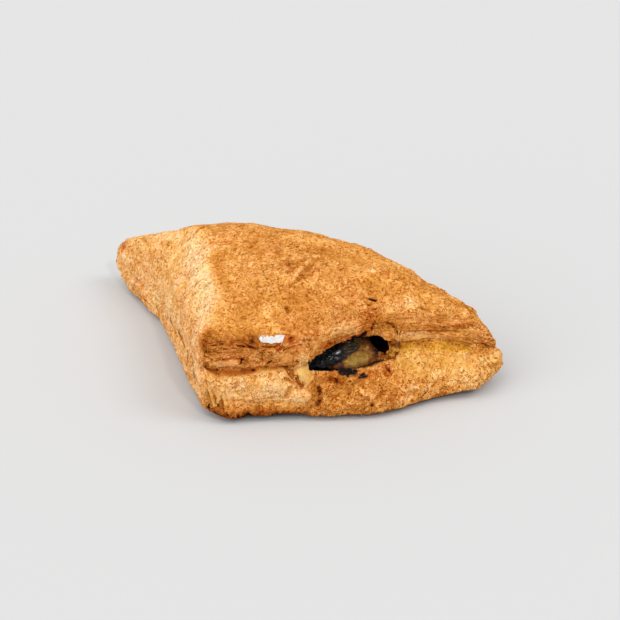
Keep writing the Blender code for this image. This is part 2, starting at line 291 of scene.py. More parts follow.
def pocketPlace(depth, turn):
    pocket = dough["pocket"]
    piece = min(int(depth), len(pocket) - 2)
    near = [Vector(pocket[min(max(piece + k, 0), len(pocket) - 1)]) for k in (-1, 0, 1, 2)]
    x, y, z, halfWidth, halfHeight = curve(near, (1, 1, 1), depth - piece)
    ahead = Vector(near[2][:2]) - Vector(near[1][:2])
    across = Vector((ahead.y, -ahead.x, 0)).normalized()
    power = 2 / dough["pocketSquareness"]
    sideways = math.copysign(abs(math.cos(turn)) ** power, math.cos(turn)) * halfWidth
    upwards = math.copysign(abs(math.sin(turn)) ** power, math.sin(turn)) * halfHeight
    return Vector((x, y, z + upwards)) + across * sideways


def pocketRings(edge):
    turns = [math.pi + 2 * math.pi * step / len(edge) for step in range(len(edge))]
    rings = []
    for row in range(1, (len(dough["pocket"]) - 1) * dough["pocketSteps"] + 1):
        depth = row / dough["pocketSteps"]
        blend = min(depth / 1.5, 1)
        rings.append([place.lerp(pocketPlace(depth, turn), blend) for place, turn in zip(edge, turns)])
    return rings


def doughCage():
    side = sideRings()
    top, crown = topRings(side[-1][1])
    rim = sum(dough["rows"][: dough["levels"].index("rim")])
    rings = soleRings(side[0][1]) + side[:rim] + eased(side[rim:] + top, crown)
    mesh, ring = startedRing(rings[0][1], True, ("level", "inside"))
    levelLayer = mesh.verts.layers.float["level"]
    insideLayer = mesh.verts.layers.float["inside"]
    rows = [ring]
    for _, places in rings[1:]:
        rows.append(grown(mesh, rows[-1], places))
    for (level, _), row in zip(rings, rows):
        for vert in row:
            vert[levelLayer] = level
    closedWithPole(mesh, rows[-1], crown)[levelLayer] = 9
    # the burst: the seam's vertices go and the pocket hangs on the hole's edge
    lip = dough["soleRows"] + sum(dough["rows"][: dough["levels"].index("lowerLip")])
    first, last = dough["mouth"]
    lower, seam, upper = rows[lip : lip + 3]
    loop = lower[first : last + 1] + [seam[last]] + upper[first : last + 1][::-1] + [seam[first]]
    bmesh.ops.delete(mesh, geom=seam[first + 1 : last], context="VERTS")
    ring = loop
    for places in pocketRings([vert.co.copy() for vert in loop]):
        ring = grown(mesh, ring, places)
        for vert in ring:
            vert[levelLayer] = 4
            vert[insideLayer] = 1
    closedWithPole(mesh, ring, Vector(dough["pocket"][-1][:3]))[insideLayer] = 1
    bmesh.ops.recalc_face_normals(mesh, faces=mesh.faces)
    return mesh


def boxMiddle(mesh):
    spots = np.array([vert.co for vert in mesh.verts])
    return Vector(((spots.min(0) + spots.max(0)) / 2)[:2])


def inOrder(mesh):
    # extruding leaves edges and faces in any order, and every run would come out a little different
    mesh.verts.index_update()
    count = len(mesh.verts)
    for items in (mesh.edges, mesh.faces):
        keys = []
        for item in items:
            low, middle, high = (sorted(vert.index for vert in item.verts) + [0])[:3]
            keys.append((low * count + middle) * count + high)  # exact below 208,000 vertices
        items.index_update()
        items.sort(key=lambda item: keys[item.index])
        items.index_update()


def written(mesh, data):
    inOrder(mesh)
    mesh.to_mesh(data)
    mesh.free()
    ends = np.empty(len(data.edges) * 2, np.int32)
    data.edges.foreach_get("vertices", ends)
    data.edges.foreach_set("vertices", np.sort(ends.reshape(-1, 2)).ravel())


def newObject(name, mesh):
    data = bpy.data.meshes.new(name)
    written(mesh, data)
    made = bpy.data.objects.new(name, data)
    bpy.context.scene.collection.objects.link(made)
    return made


def withModifiers(made):
    # the modifiers' result takes the place of the mesh
    shaped = bpy.data.meshes.new_from_object(made.evaluated_get(bpy.context.evaluated_depsgraph_get()))
    made.modifiers.clear()
    old, made.data = made.data, shaped
    bpy.data.meshes.remove(old)
    shaped.name = made.name
    return made


def subdivided(made, levels):
    finer = made.modifiers.new("finer", "SUBSURF")
    finer.levels = finer.render_levels = levels
    return withModifiers(made)


def refined(made, chosen):
    # splits the chosen faces in four
    mesh = bmesh.new()
    mesh.from_mesh(made.data)
    faces = [face for face in mesh.faces if chosen(face.calc_center_median(), face.normal)]
    edges = list(dict.fromkeys(edge for face in faces for edge in face.edges))
    bmesh.ops.subdivide_edges(mesh, edges=edges, cuts=1, use_grid_fill=True)
    written(mesh, made.data)
    return made


finest = {"right": 76, "back": 22, "top": 34, "bottom": 1.5}  # edges of the part with the finest relief


def burstSide(middle, normal):
    facing = normal.y < -0.35 and middle.z < finest["top"] or normal.x < -0.5 and middle.y < finest["back"]
    return facing and middle.x < finest["right"] and middle.y < finest["back"] and middle.z > finest["bottom"]


cage = doughCage()
planMiddle = boxMiddle(cage)
fromPlan = Matrix.Translation((-planMiddle.x * mm, -planMiddle.y * mm, 0)) @ Matrix.Scale(mm, 4)
crust = refined(subdivided(newObject("crust", cage), dough["detail"]), burstSide)
print("crust shaped:", len(crust.data.polygons) * 2, "triangles")


def spotsOf(made):
    spots = np.empty(len(made.data.vertices) * 3, np.float32)
    made.data.vertices.foreach_get("co", spots)
    return spots.reshape(-1, 3).astype(float)


def normalsOf(made):
    ways = np.empty(len(made.data.vertices) * 3, np.float32)
    made.data.vertex_normals.foreach_get("vector", ways)
    return ways.reshape(-1, 3).astype(float)


def valuesOf(made, name):
    found = np.empty(len(made.data.vertices), np.float32)
    made.data.attributes[name].data.foreach_get("value", found)
    return found.astype(float)


def moved(made, spots):
    made.data.vertices.foreach_set("co", spots.astype(np.float32).ravel())
    made.data.update()


def painted(made, name, amounts):
    layer = made.data.attributes.get(name) or made.data.attributes.new(name, "FLOAT", "POINT")
    layer.data.foreach_set("value", np.asarray(amounts, np.float32))


def step(low, high, amounts):
    share = np.clip((amounts - low) / (high - low), 0, 1)
    return share * share * (3 - 2 * share)


def soft(spots, size, octaves, seed):
    # even noise, about -1 to 1, with lumps of the given size in mm
    away = Vector((17.3, 5.1, 9.7)) * seed
    scaled = spots / np.array(size)
    return np.array([noise.fractal(Vector(spot) + away, 0.8, 2.1, octaves) for spot in scaled])


def veined(spots, size, seed):
    # raised crooked veins on a lower ground, about -1 to 1
    away = Vector((3.1, 11.7, 23.9)) * seed
    found = []
    for spot in spots / np.array(size):
        place = Vector(spot) + away
        place += noise.noise_vector(place * 0.6) * 0.7
        found.append(1 - 3 * abs(noise.noise(place)) + 0.5 * noise.noise(place * 2.3))
    return np.array(found)


def bubbled(spots, size, seed):
    # domes with creases between them, 0 in a crease and 1 on a dome
    away = Vector((7.9, 2.3, 13.1)) * seed
    found = []
    for spot in spots / np.array(size):
        near = noise.voronoi(Vector(spot) + away)[0]
        found.append(near[1] - near[0])
    return np.clip(np.array(found) * 1.3, 0, 1)


def closeTo(spots, path):
    # distance in mm from every spot to a line through the path's points
    points = [np.array(point, float) for point in path]
    if len(points) == 1:
        return np.linalg.norm(spots - points[0], axis=1)
    nearest = np.full(len(spots), 1e9)
    for start, end in zip(points, points[1:]):
        along = end - start
        share = np.clip((spots - start) @ along / (along @ along), 0, 1)
        nearest = np.minimum(nearest, np.linalg.norm(spots - start - share[:, None] * along, axis=1))
    return nearest


def stroke(spots, path, width, edge=0.5):
    # 1 within the width of a line, fading to 0 over the edge share of it
    distance = closeTo(spots, path) / width
    return 1 - step(1 - edge, 1 + edge, distance)


def strongest(spots, strokes, edge):
    # the strongest of several strokes: path, half width, amount
    return np.max([amount * stroke(spots, path, width, edge) for path, width, amount in strokes], axis=0)


# What shows on the crust, each along a path in mm: path, half width, rise in mm, change in bake.
# Bake runs from 0, pale cream, over golden and brown to 1, nearly black; some marks darken it as painted shade.
marks = {
    "swells": (
        (((69, 32, 40.2), (76, 25, 38.5), (81, 20.5, 36.6)), 6, 1.3, 0),
        (((88, 13.5, 34), (96, 9, 30.5)), 5, -0.7, 0),
        (((102.5, 1, 25.5), (105.5, -3, 20.5)), 5, 1.2, 0),
        (((27, 62.6, 42.5), (35, 57.2, 43.6)), 6, -1.0, 0),
        (((-12, 107, 13), (-12, 103, 8)), 5, -0.9, 0),
        (((-10.5, 100, 5.5), (-2.7, 67, 4.6), (-1.4, 48, 5.6)), 5, -0.5, 0),
        (((-0.6, 3, 8), (0, -4, 8), (0.8, -5, 3)), 6, -1.4, 0),
        (((1, -5, 3), (4.5, -6.6, 2.5), (8.5, -7.8, 2)), 3.6, 1.3, 0),
        (((5, -7, 2.5), (20, -10, 2), (34, -12.5, 2), (44, -15, 2)), 3, 0.9, 0.1),
        (((72, 42, 41), (66, 46, 42)), 9, 0.3, 0),
        (((20, 72, 41), (26, 66, 43)), 8, 0.2, 0),
        (((-5.4, 81, 4), (-4.6, 77, 3)), 5, 1.0, 0),
        (((17.2, 9.4, 39.2), (31.3, 7.2, 38.5), (44.3, 3.5, 37.1)), 6, 0, 0.07),
        (((17.3, 1.4, 36), (29.4, -0.7, 35.6), (42.5, -3.3, 34.5)), 4, 0, 0.06),
        (((54.6, 19.2, 41.7), (60.6, 13.4, 39.7), (66.5, 7.6, 37)), 8, 0, 0.06),
        (((44.2, -7, 32.1), (49.8, -6.3, 31.9), (55.6, -5.4, 30.6)), 2.4, 0, -0.12),
        (((42.5, -13.9, 11.8), (49.3, -15.8, 9.9), (56.5, -16.3, 10.4)), 5, 0, 0.07),
        (((104.8, -5.3, 15), (106.7, -8, 11.2), (107.2, -9.4, 7.7)), 3, 0, -0.06),
        (((109, -4, 15), (110.5, -4.4, 12)), 3, 0, -0.08),
        (((110.8, -4.6, 12.4), (111.6, -1.5, 12.6)), 1.8, 0.8, -0.08),
        # pale fold down the left shoulder, browned edge of the top beside it
        (((8.5, 60, 35), (9.5, 46, 37.5), (7.5, 28, 36.5), (6.5, 12, 35.5)), 4.2, 0.4, -0.22),
        (((14.5, 40, 40.3), (14, 28, 39.6), (13, 16, 38.8)), 2.4, 0, 0.1),
        # tones of the wing
        (((-1, 84, 25), (1, 70, 27), (0.5, 56, 25)), 5, 0, 0.08),
        (((-5, 76, 15), (-2, 62, 17), (-1, 50, 17)), 4, 0, -0.07),
        (((-8, 100, 22), (-6, 95, 23)), 4, 0, 0.06),
        (((2, 90, 31), (6, 82, 34)), 4, 0, -0.06),
        (((0.5, 44, 26), (2, 34, 30)), 4, 0, 0.05),
        # plateau: amber patches and paler rises, darker in the dips and paler on the rises partly as painted
        # shade and light
        (((31, 33, 43.5), (38, 28, 43)), 4, -0.3, 0.07),
        (((27, 40, 43.3), (22, 44, 42.6)), 5, 0, 0.05),
        (((20, 55, 42.5), (17, 50, 41.5)), 4, 0.2, -0.06),
        (((23, 32, 42), (26, 30, 42.3)), 4, 0.2, -0.05),
        (((48, 34, 44.5), (56, 30, 44)), 5, 0, 0.07),
        (((56, 16, 40.5), (62, 14, 39.6)), 5, 0, -0.05),
        (((36, 8, 38.6), (42, 6, 38)), 4, 0, 0.07),
        (((80, 12, 36.5), (86, 10, 34.5)), 6, 0, 0.06),
        (((73, 4, 34.6), (80, 2, 33)), 4, 0, -0.07),
        # matt brown shoulder over the left band, band set back
        (((2, -2, 32), (10, -4, 32.4), (22, -6, 31.8)), 3, 0.35, 0.15),
        (((2.2, -4.4, 30), (6, -5.4, 30.4)), 2.2, 0, 0.14),
        (((14, -6.4, 30.6), (19.5, -7.6, 29.8)), 1.8, 0, 0.08),
        (((3, -4.5, 27.5), (12, -7, 27.5), (20, -9, 26.6)), 2.6, -0.5, 0),
        (((8, -8, 12), (20, -10, 12), (27, -11, 12.5)), 4, 0.5, -0.05),
        # brown painted shade behind the pleats of the square corner
        (((0.6, -5, 9.5), (3, -6.6, 8.2), (6, -7.5, 7.2)), 3, 0, 0.16),
        (((10, -8.4, 5), (20, -10.4, 4.6), (30, -11.8, 4.6)), 1.3, 0.4, 0.05),
        # upper lip of the burst: swelling, red-brown edge
        (((42.7, -8, 31.3), (49.7, -6.4, 31.8), (56, -4.6, 32)), 2.0, 0.6, -0.05),
        (((42, -9, 26.9), (45.7, -8.3, 27.3), (50.9, -6.8, 27.3), (56.7, -5.6, 27.9), (61.5, -4.8, 28.6)),
         1.3, 0.1, 0.16),
        (((58, -4, 30.4), (62.5, -3.5, 30.6), (68, -3, 30)), 2.2, 0.1, 0.22),
        # right of the burst: pale inner flap over the pale shelf
        (((74, -4.6, 23.8), (82.5, -3, 22.8)), 1.4, 0.5, -0.2),
        (((84, -3, 22.6), (89.9, -3.6, 22), (96.5, -4.7, 20.8)), 1.2, 0.4, -0.04),
        (((76, -8, 18), (86, -7.5, 16.2), (96, -8, 15)), 2, 0.5, -0.08),
        (((95, 5, 30.5), (98.5, 5, 28.5), (100, 2.5, 27)), 2.6, 0, 0.13),
        (((106, -4.7, 17), (109, -4, 14)), 3, 0, 0.08),
        # orange dough under the burst
        (((42.5, -12, 16.5), (50, -12.6, 15.8), (60, -12.6, 15.2), (66, -11.5, 15.5)), 2.2, 0.1, 0.1),
    ),
    "patches": (
        (((13.3, 67, 39.9), (15, 66.5, 40.5)), 1.2, 0, 0.2),
        (((12.5, 52.5, 38.5), (12, 50, 38.3)), 1.4, 0, 0.2),
        (((37, 26, 43.1), (41, 24.5, 43)), 2.2, -0.2, 0.06),
        (((33, 3.6, 37.3), (32.8, 1.6, 36.6)), 0.9, -0.3, 0.2),
        (((24.7, 1.1, 36.1), (26, 3.5, 36.8)), 2, 0.2, -0.14),
        (((31, 1.5, 36.2), (30, 3, 36.6)), 1.1, 0.1, -0.14),
        (((5.4, 33.5, 34.6), (7, 34.5, 35.9)), 0.9, -0.2, 0.24),
        (((5.5, 79, 33.8), (6.3, 81, 34.3)), 1, 0, 0.12),
        (((2.8, 78.6, 30.2), (3.8, 77.7, 31.3)), 0.9, -0.2, 0.3),
        (((4.8, 7.3, 35.1),), 0.7, -0.2, 0.26),
        (((15.9, 49, 40.6),), 2.2, 0, -0.1),
        (((31, 29, 43.2), (33.5, 28, 43.2)), 1.8, 0.2, -0.12),
        (((67.1, 16.6, 41), (68.2, 16, 41)), 1, 0.25, -0.34),
        (((77.4, 3.8, 34.3), (78.6, 3.2, 34)), 1.1, 0.25, -0.3),
        # brown end of the shoulder, red-brown spots beside the scrap
        (((1, -3.6, 29), (2, -2.6, 31.4), (3.4, -1.8, 32.6)), 1.9, 0.2, 0.16),
        (((17.7, -5, 32.2), (19.8, -6.5, 31.4)), 0.8, 0, 0.12),
        (((31.3, -8.3, 31.5), (31.2, -9.2, 30.7)), 1.0, -0.1, 0.26),
        (((26, -9.6, 29), (27.8, -9.9, 29)), 0.9, -0.1, 0.22),
        # rolled lip in the left band, red-brown ridge under it
        (((3.8, -5.8, 22.7), (8.1, -7, 23.6), (12.4, -7.9, 23.7)), 1.25, 0.45, -0.16),
        (((1.8, -4.6, 21.6), (5, -5.6, 20.1), (11.6, -6.9, 19.6), (17.5, -7.9, 20.3)), 1.35, 0.35, 0.36),
        (((18, -8, 20.4), (21.5, -9, 21), (25.5, -9.4, 20.9)), 1.1, 0.3, 0.2),
        (((13.4, -8, 24.4), (15.2, -8.5, 24.2)), 1.0, -0.1, 0.24),
        (((9.5, -6.7, 19.3), (14, -7.5, 19.4)), 1.2, 0, 0.08),
        (((13.8, -5.9, 30.8), (17.1, -7.1, 30.2), (19, -8.2, 29.3)), 1.6, 0, 0.16),
        (((4.2, -5.8, 29.2), (7.2, -6.4, 28.8)), 1.2, 0, -0.08),
        (((34.8, -11.1, 26), (35.5, -11, 21.8)), 1.4, 0.1, -0.12),
        # amber dough in the right corner of the burst, burnt and browned spots under it
        (((68.8, -6.1, 23.5), (70.4, -5.8, 22), (69.5, -6.6, 20.4)), 1.3, -0.2, 0.34),
        (((44.6, -12.6, 15.7), (46.7, -13, 14.9)), 0.9, -0.1, 0.24),
        (((47.4, -13.1, 14.8), (49.9, -13.4, 14.2)), 1.1, 0, 0.16),
        (((74, -4, 25.4), (82.5, -2.6, 25)), 1.2, 0, -0.22),
        # folded brown leaf, pale flap that closes on it
        (((29.4, -10.8, 20), (31.2, -11.2, 18.4), (33.1, -11.9, 15.7), (34.4, -12.3, 13.9)), 0.75, 0.6, 0.2),
        (((35.4, -11, 24), (35.8, -11.4, 20.5), (35.4, -12, 17)), 2.1, 0.5, -0.2),
        (((37.4, -10.9, 23), (38.7, -11.4, 19.5), (38.2, -12.2, 16.6), (35.6, -12.6, 13.7)), 0.55, 0.7, -0.12),
        # pale blobs with brown dips between, darkened with painted shade
        (((25.4, -10.9, 13.8),), 2, 0.9, -0.2),
        (((22.4, -10.4, 15.5), (21, -10, 14)), 1.4, 0.5, -0.1),
        (((27.2, -11.2, 10.6),), 1.4, 0.4, -0.1),
        (((32.8, -12.2, 10.2), (35, -12.7, 9.2)), 2.2, 1.0, -0.12),
        (((15.4, -9, 15.6), (18, -9.5, 16.3)), 0.9, 0.4, 0.12),
        # dips between the blobs, darkened as painted shade
        (((29, -11.4, 10), (30.4, -11.7, 13)), 0.9, -0.9, 0.26),
        (((28.8, -11.2, 16.9), (31.3, -11.7, 15)), 0.6, -0.6, 0.22),
        (((23.4, -10.3, 17.4), (23.9, -10, 18.6)), 0.7, -0.5, 0.18),
        (((40.5, -13.4, 12.3), (40.8, -14, 9), (39.9, -13.9, 6.2)), 0.8, -0.9, 0.3),
        (((38.4, -13.2, 12.4), (37.4, -13.2, 9.5), (37.8, -13.4, 7)), 1.1, 0.5, 0),
        # pleats of the square corner
        (((0.7, -4.9, 12.5), (1.4, -5.6, 7.4)), 0.5, 0.7, -0.16),
        (((2.5, -6.2, 13.4), (3, -6.6, 10), (3.9, -6.9, 7.2)), 0.55, 0.7, -0.16),
        (((5.8, -7.4, 12), (4.7, -7.1, 8.2)), 0.5, 0.7, -0.16),
        (((6.8, -7.5, 11.5), (7.9, -7.8, 7.5)), 0.5, 0.6, -0.2),
        (((-0.6, 1, 17), (-0.3, -3, 13.8), (0.3, -4.7, 9.6)), 0.8, 0.5, -0.14),
    ),
    "lines": (
        # cracks and thin dark streaks of the left band
        (((12.7, -6.6, 29.8), (14.7, -7.2, 29.4)), 0.4, -0.6, 0.4),
        (((15.5, -6.9, 30.2), (18.6, -8.4, 28.7), (21.2, -9.5, 26.6)), 0.35, -0.6, 0.3),
        (((10.2, -5.6, 30.9), (11.8, -5.9, 30.7)), 0.35, -0.4, 0.3),
        (((6.6, -5.5, 30.8), (7.7, -5.8, 30.6)), 0.35, -0.4, 0.3),
        (((2.7, -5.5, 28.1), (4.8, -6.2, 28.1), (6.7, -6.6, 27.6)), 0.4, -0.6, 0.36),
        (((1.4, -4.8, 26), (3.7, -6.1, 25.2)), 0.4, -0.5, 0.3),
        (((6.6, -6.8, 24.7), (10.5, -7.4, 25.4), (14, -8.2, 25.4)), 0.4, -0.45, 0.34),
        (((17.9, -9.1, 24.4), (19.4, -9.4, 23.6)), 0.35, -0.5, 0.36),
        (((19.3, -9.1, 26.6), (21.2, -9.6, 26.1)), 0.35, -0.5, 0.3),
        (((13.4, -7.4, 21.2), (15.4, -7.8, 21.1)), 0.35, -0.4, 0.3),
        (((38, -9.7, 29.9), (37.7, -10.5, 28)), 0.4, -0.3, 0.3),
        # front left: leaf, crease beside the flap darkened as painted shadow, brown lines near the foot, pleats
        # with gaps darkened partly as painted shade
        (((32.3, -11.7, 16.9), (34, -12.2, 13.8)), 0.35, -0.5, 0.3),
        (((39.4, -11.2, 21), (39.9, -12.2, 17), (39, -12.9, 13.4)), 0.45, -0.7, 0.16),
        (((7.3, -7.7, 9.2), (12.8, -8.8, 9), (18.3, -9.9, 8.2), (26.8, -11.1, 7.8)), 0.6, -0.3, 0.16),
        (((1.9, -6, 12), (3, -6.6, 8)), 0.55, -0.3, 0.45),
        (((4, -7, 10.5), (5.4, -7.3, 6.6)), 0.6, -0.3, 0.42),
        (((0.4, -4.6, 10), (1.8, -5.7, 5.6)), 0.55, -0.3, 0.42),
        (((6.6, -7.6, 9), (6.9, -7.8, 6)), 0.5, -0.4, 0.4),
        (((1.1, -4.5, 18), (1.4, -5, 16.4), (1.5, -5.6, 14.6)), 0.55, -0.6, 0.24),
        # slits of the left side
        (((-1.3, 60.7, 10.7), (-1, 52.7, 11.8)), 0.5, -0.5, 0.34),
        (((-2.8, 67.2, 6.1), (-2.5, 64, 4)), 0.6, -0.4, 0.3),
        (((-0.7, 44.2, 16.3), (-0.7, 42.4, 16.5)), 0.4, -0.4, 0.4),
        (((-0.6, 46.3, 11.4), (-0.8, 42.4, 10.3)), 0.5, -0.5, 0.36),
        (((0, 20.6, 23.7), (0.2, 17.5, 25.4), (0.2, 14.1, 25.9)), 0.35, -0.4, 0.36),
        (((-1, 28.4, 9.8), (-1, 27.6, 9.2)), 0.7, -0.5, 0.2),
        (((-0.9, 19.5, 10.4), (-0.8, 15.3, 9.5)), 0.5, -0.5, 0.34),
        (((0.2, 11.4, 16.7), (0.3, 10.4, 16.2)), 0.4, -0.4, 0.3),
        (((-7.1, 86.4, 7.4), (-6, 83, 6.4), (-5.3, 80.6, 5.2)), 0.8, -0.5, 0.4),
        (((-0.2, 50.4, 21.9), (1, 44.1, 26.9)), 0.3, -0.2, 0.16),
        # over the burst: folds of the swollen lip, burnt drips
        (((43, -5.5, 33), (48.5, -3.3, 34), (55.3, 1.2, 35.3), (61.9, 4.9, 36)), 0.5, -0.45, 0.08),
        (((44, -7, 32.4), (50, -5, 33.2), (57, -1.5, 34.2), (60, 0.5, 34.8)), 0.4, -0.4, 0.08),
        (((61.9, -4.3, 29.3), (63.2, -3.8, 31)), 0.55, -0.3, 0.4),
        # right of the burst: thin brown lip, its shadow, streaks over it
        (((71.5, -4.3, 26.8), (76.8, -3.3, 26.5), (84.4, -2.9, 25), (91, -3, 24.5), (97.8, -2.8, 24.8),
          (100.3, -2.6, 24.6)), 0.75, 0.4, 0.4),
        (((71.5, -4.9, 25.6), (76.6, -3.8, 25.4), (84.4, -3, 24), (91, -3.1, 23.5), (98, -3.6, 22.6)),
         0.4, -0.5, 0.22),
        (((70.4, -5.3, 23), (76.3, -4.4, 21.4), (84, -3.8, 20.6), (92, -4.4, 19.6)), 0.45, -0.4, 0.28),
        (((99, -4.5, 21.4), (101.5, -4.8, 19.8), (104.5, -4.8, 17.6), (106.1, -4.9, 15.6)), 0.5, -0.4, 0.34),
        (((108, -3.4, 18), (109, -3.8, 15.8)), 0.5, -0.2, 0.2),
        (((82.4, 1.2, 31.4), (84, 0.7, 30.8)), 0.5, -0.3, 0.34),
        (((94.4, 0.3, 28.8), (96, 0.9, 28.7)), 0.35, -0.3, 0.26),
        (((103.4, -11.4, 6.7), (106.1, -10, 7.9)), 0.5, -0.2, 0.2),
        (((80.5, -8.5, 15), (80.9, -9.5, 13.7)), 0.35, -0.2, 0.2),
        (((71.2, -12.3, 13.2), (71.3, -14, 10.9)), 0.3, -0.4, 0.3),
        (((77.9, -15, 4), (79.7, -14.3, 5.8)), 0.35, -0.4, 0.3),
        (((86.7, -13.3, 5.6), (89, -13.3, 4.9)), 0.35, -0.4, 0.3),
        (((54.3, -16.5, 9.7), (56, -17.2, 8.5)), 0.6, -0.4, 0.44),
        (((63.7, -17.9, 6), (64.3, -17.2, 7.8)), 0.3, -0.4, 0.26),
        # raised edges of flakes on the top, each with the dip below it darkened as painted shadow
        (((38.1, 26.7, 43.4), (45.1, 27.7, 43.7), (50.3, 27.4, 43.6)), 0.7, 0.8, -0.18),
        (((38.5, 25.2, 43.2), (45.3, 26.2, 43.4), (50, 26, 43.4)), 0.7, -0.6, 0.2),
        (((38.2, 16.3, 41.2), (42.3, 21.5, 42.4), (47.5, 26, 43.3)), 0.7, 0.8, -0.18),
        (((39.5, 15.5, 41), (43.8, 20.5, 42.2), (48.8, 24.8, 43.1)), 0.8, -0.6, 0.2),
    ),
    "spots": (
        (((95.3, -5.2, 18.1),), 0.4, 0, 0.45),
        (((98.4, -5.1, 18),), 0.3, 0, 0.35),
        (((100.2, -6.9, 15.4),), 0.35, 0, 0.3),
        (((93.8, -6.4, 16.8),), 0.4, 0, 0.3),
        (((84.4, -4.7, 18.6), (85.6, -4.6, 18.6)), 0.35, 0, 0.3),
        (((80, -4, 20.2),), 0.4, 0, 0.4),
        (((71, -5.8, 21.2), (72.4, -5.5, 21.1)), 0.7, -0.2, 0.36),
        (((88.3, -0.4, 29.1),), 0.35, 0, 0.4),
        (((76.9, 0.4, 31.7),), 0.4, 0, 0.3),
        (((90.8, 3, 31.4),), 0.4, 0, 0.3),
        (((63.4, 4.3, 35.8), (65.6, 4.2, 35.5)), 0.6, -0.1, 0.48),
        (((62.4, 1.6, 34.8),), 0.4, 0, 0.5),
        (((60.6, -1.3, 33.6),), 0.5, 0, 0.4),
        (((64.3, -2.4, 32.3),), 0.35, 0, 0.3),
        (((70.6, -3.9, 28.2), (72.2, -4.5, 26)), 0.9, 0, 0.28),
        (((67.8, -3.2, 30.2), (70, -3.4, 29.2)), 0.5, 0, 0.28),
        (((58.3, -4.9, 28), (59.4, -4.6, 28.4)), 0.7, 0, 0.45),
        (((51.8, -13.6, 13.9),), 0.6, 0, 0.36),
        (((65.9, -10.3, 16.2), (66.6, -11.4, 15.1)), 0.6, 0, 0.4),
        (((62.3, -15, 11.7),), 0.4, 0, 0.35),
        (((52.5, -17.4, 6.3),), 0.4, 0, 0.35),
        (((58.9, -18.2, 5.8),), 0.6, -0.2, 0.34),
        (((43, -14.4, 10.1),), 0.5, -0.2, 0.3),
        (((72.4, -16, 5.8),), 0.4, 0, 0.3),
        (((-10, 107.4, 18.3), (-11, 107, 16)), 1.0, -0.1, 0.34),
        (((5.2, -7, 16.8),), 0.3, 0, 0.5),
    ),
}
# Courses of dough in the left band: how high each lies at the given x, in mm, and its place in the stack
courses = {
    "x": (1, 3.7, 7.7, 13.2, 19.4, 25.3, 30.6, 38.7),
    "lines": (
        (0, (20.5, 18.5, 17.6, 17.7, 18.7, 19.3, 19.7, 21)),
        (1.6, (22.5, 21.3, 20.2, 19.8, 21.5, 22.9, 23.4, 24.5)),
        (2.8, (24, 24.3, 23.4, 23, 23.5, 24.7, 25.7, 27.5)),
        (3.6, (25.5, 25.7, 25.2, 25.5, 24.9, 25.7, 27.8, 29.6)),
        (6, (27.4, 27.8, 27.3, 26.9, 25.9, 26.6, 28.8, 30.6)),
        (8.2, (29.6, 29.6, 29.2, 28.6, 27.1, 27.6, 30.1, 31.8)),
        (10.4, (31.7, 32, 31.5, 30.6, 28.8, 29, 31.4, 33)),
    ),
}
crustLook = {
    "bigWaves": 0.75,
    "blisters": 0.55,
    "veins": 0.26,
    "fine": 0.13,
    "leaves": 0.36,
    "overhang": 0.8,  # how far the left band leans out over the lower half, in mm
    "bend": 0.35,  # how far painted strokes wander, in mm
    "lipTear": 0.55,
    "layersAt": (0, 3, 11, 19.5, 21, 22.5, 32, 40, 50, 90),  # where the sheets of dough lie at each level, in mm
    "bake": 0.46,
    "tones": {  # change in bake from one part to the next, partly painted light and shade
        # paler where the crust faces left and on the wing, partly as painted light
        "left": -0.2,
        "wing": -0.13,
        "bandLeft": 0.01,
        "bandMiddle": 0.02,
        "bandRight": -0.02,
        "lowerLeft": -0.15,
        "lowerMiddle": 0.05,
        "lowerRight": -0.09,
        # darker low down and underneath: browner crust and painted shade where it meets the table
        "foot": 0.14,
        "leftFoot": 0.38,
        "sole": 0.5,
        "under": 0.1,
    },
}
lips = (  # the torn edges over and under the burst
    (((36.5, -11.6, 23), (45.7, -8.1, 26.5), (51.7, -6.2, 26.7), (59.1, -4.8, 27.4), (64, -4.6, 28),
      (68.1, -5.9, 24.4)), 1.2, 1),
    (((36.5, -11.6, 22), (42, -11.4, 18), (50, -11.5, 16.8), (58, -12, 16.2), (65, -9, 16.8), (68.5, -8, 18.5)),
     1.2, 1),
)
oilPath = ((70.4, -5.9, 21.6), (80.3, -4.2, 19.8), (87.7, -4.8, 18.3), (98, -5.6, 17.3))
cornerOil = ((34.5, -11.6, 21), (36, -12, 17))
calmPaths = (  # smooth dough, hardly any grain
    (((3.8, -5.8, 22.7), (8.1, -7, 23.6), (13, -8, 23.7)), 1.7, 1),
    (((2, -4.9, 21), (5.4, -6, 19.8), (12.5, -7.2, 19.5), (18.8, -8.4, 20.3), (29, -10.2, 21)), 1.6, 1),
    (((28.3, -10.2, 21.4), (34.4, -12.3, 13.9)), 1.4, 1),
    (((36.5, -11, 24), (36.8, -11.4, 20), (35.6, -12.2, 15)), 2.6, 1),
    (((25.4, -10.9, 13.8),), 2.2, 1),
    (((32.8, -12.2, 10.2), (35, -12.7, 9.2)), 1.8, 1),
    (((1, -5, 12), (7, -7.5, 9)), 3, 1),
)
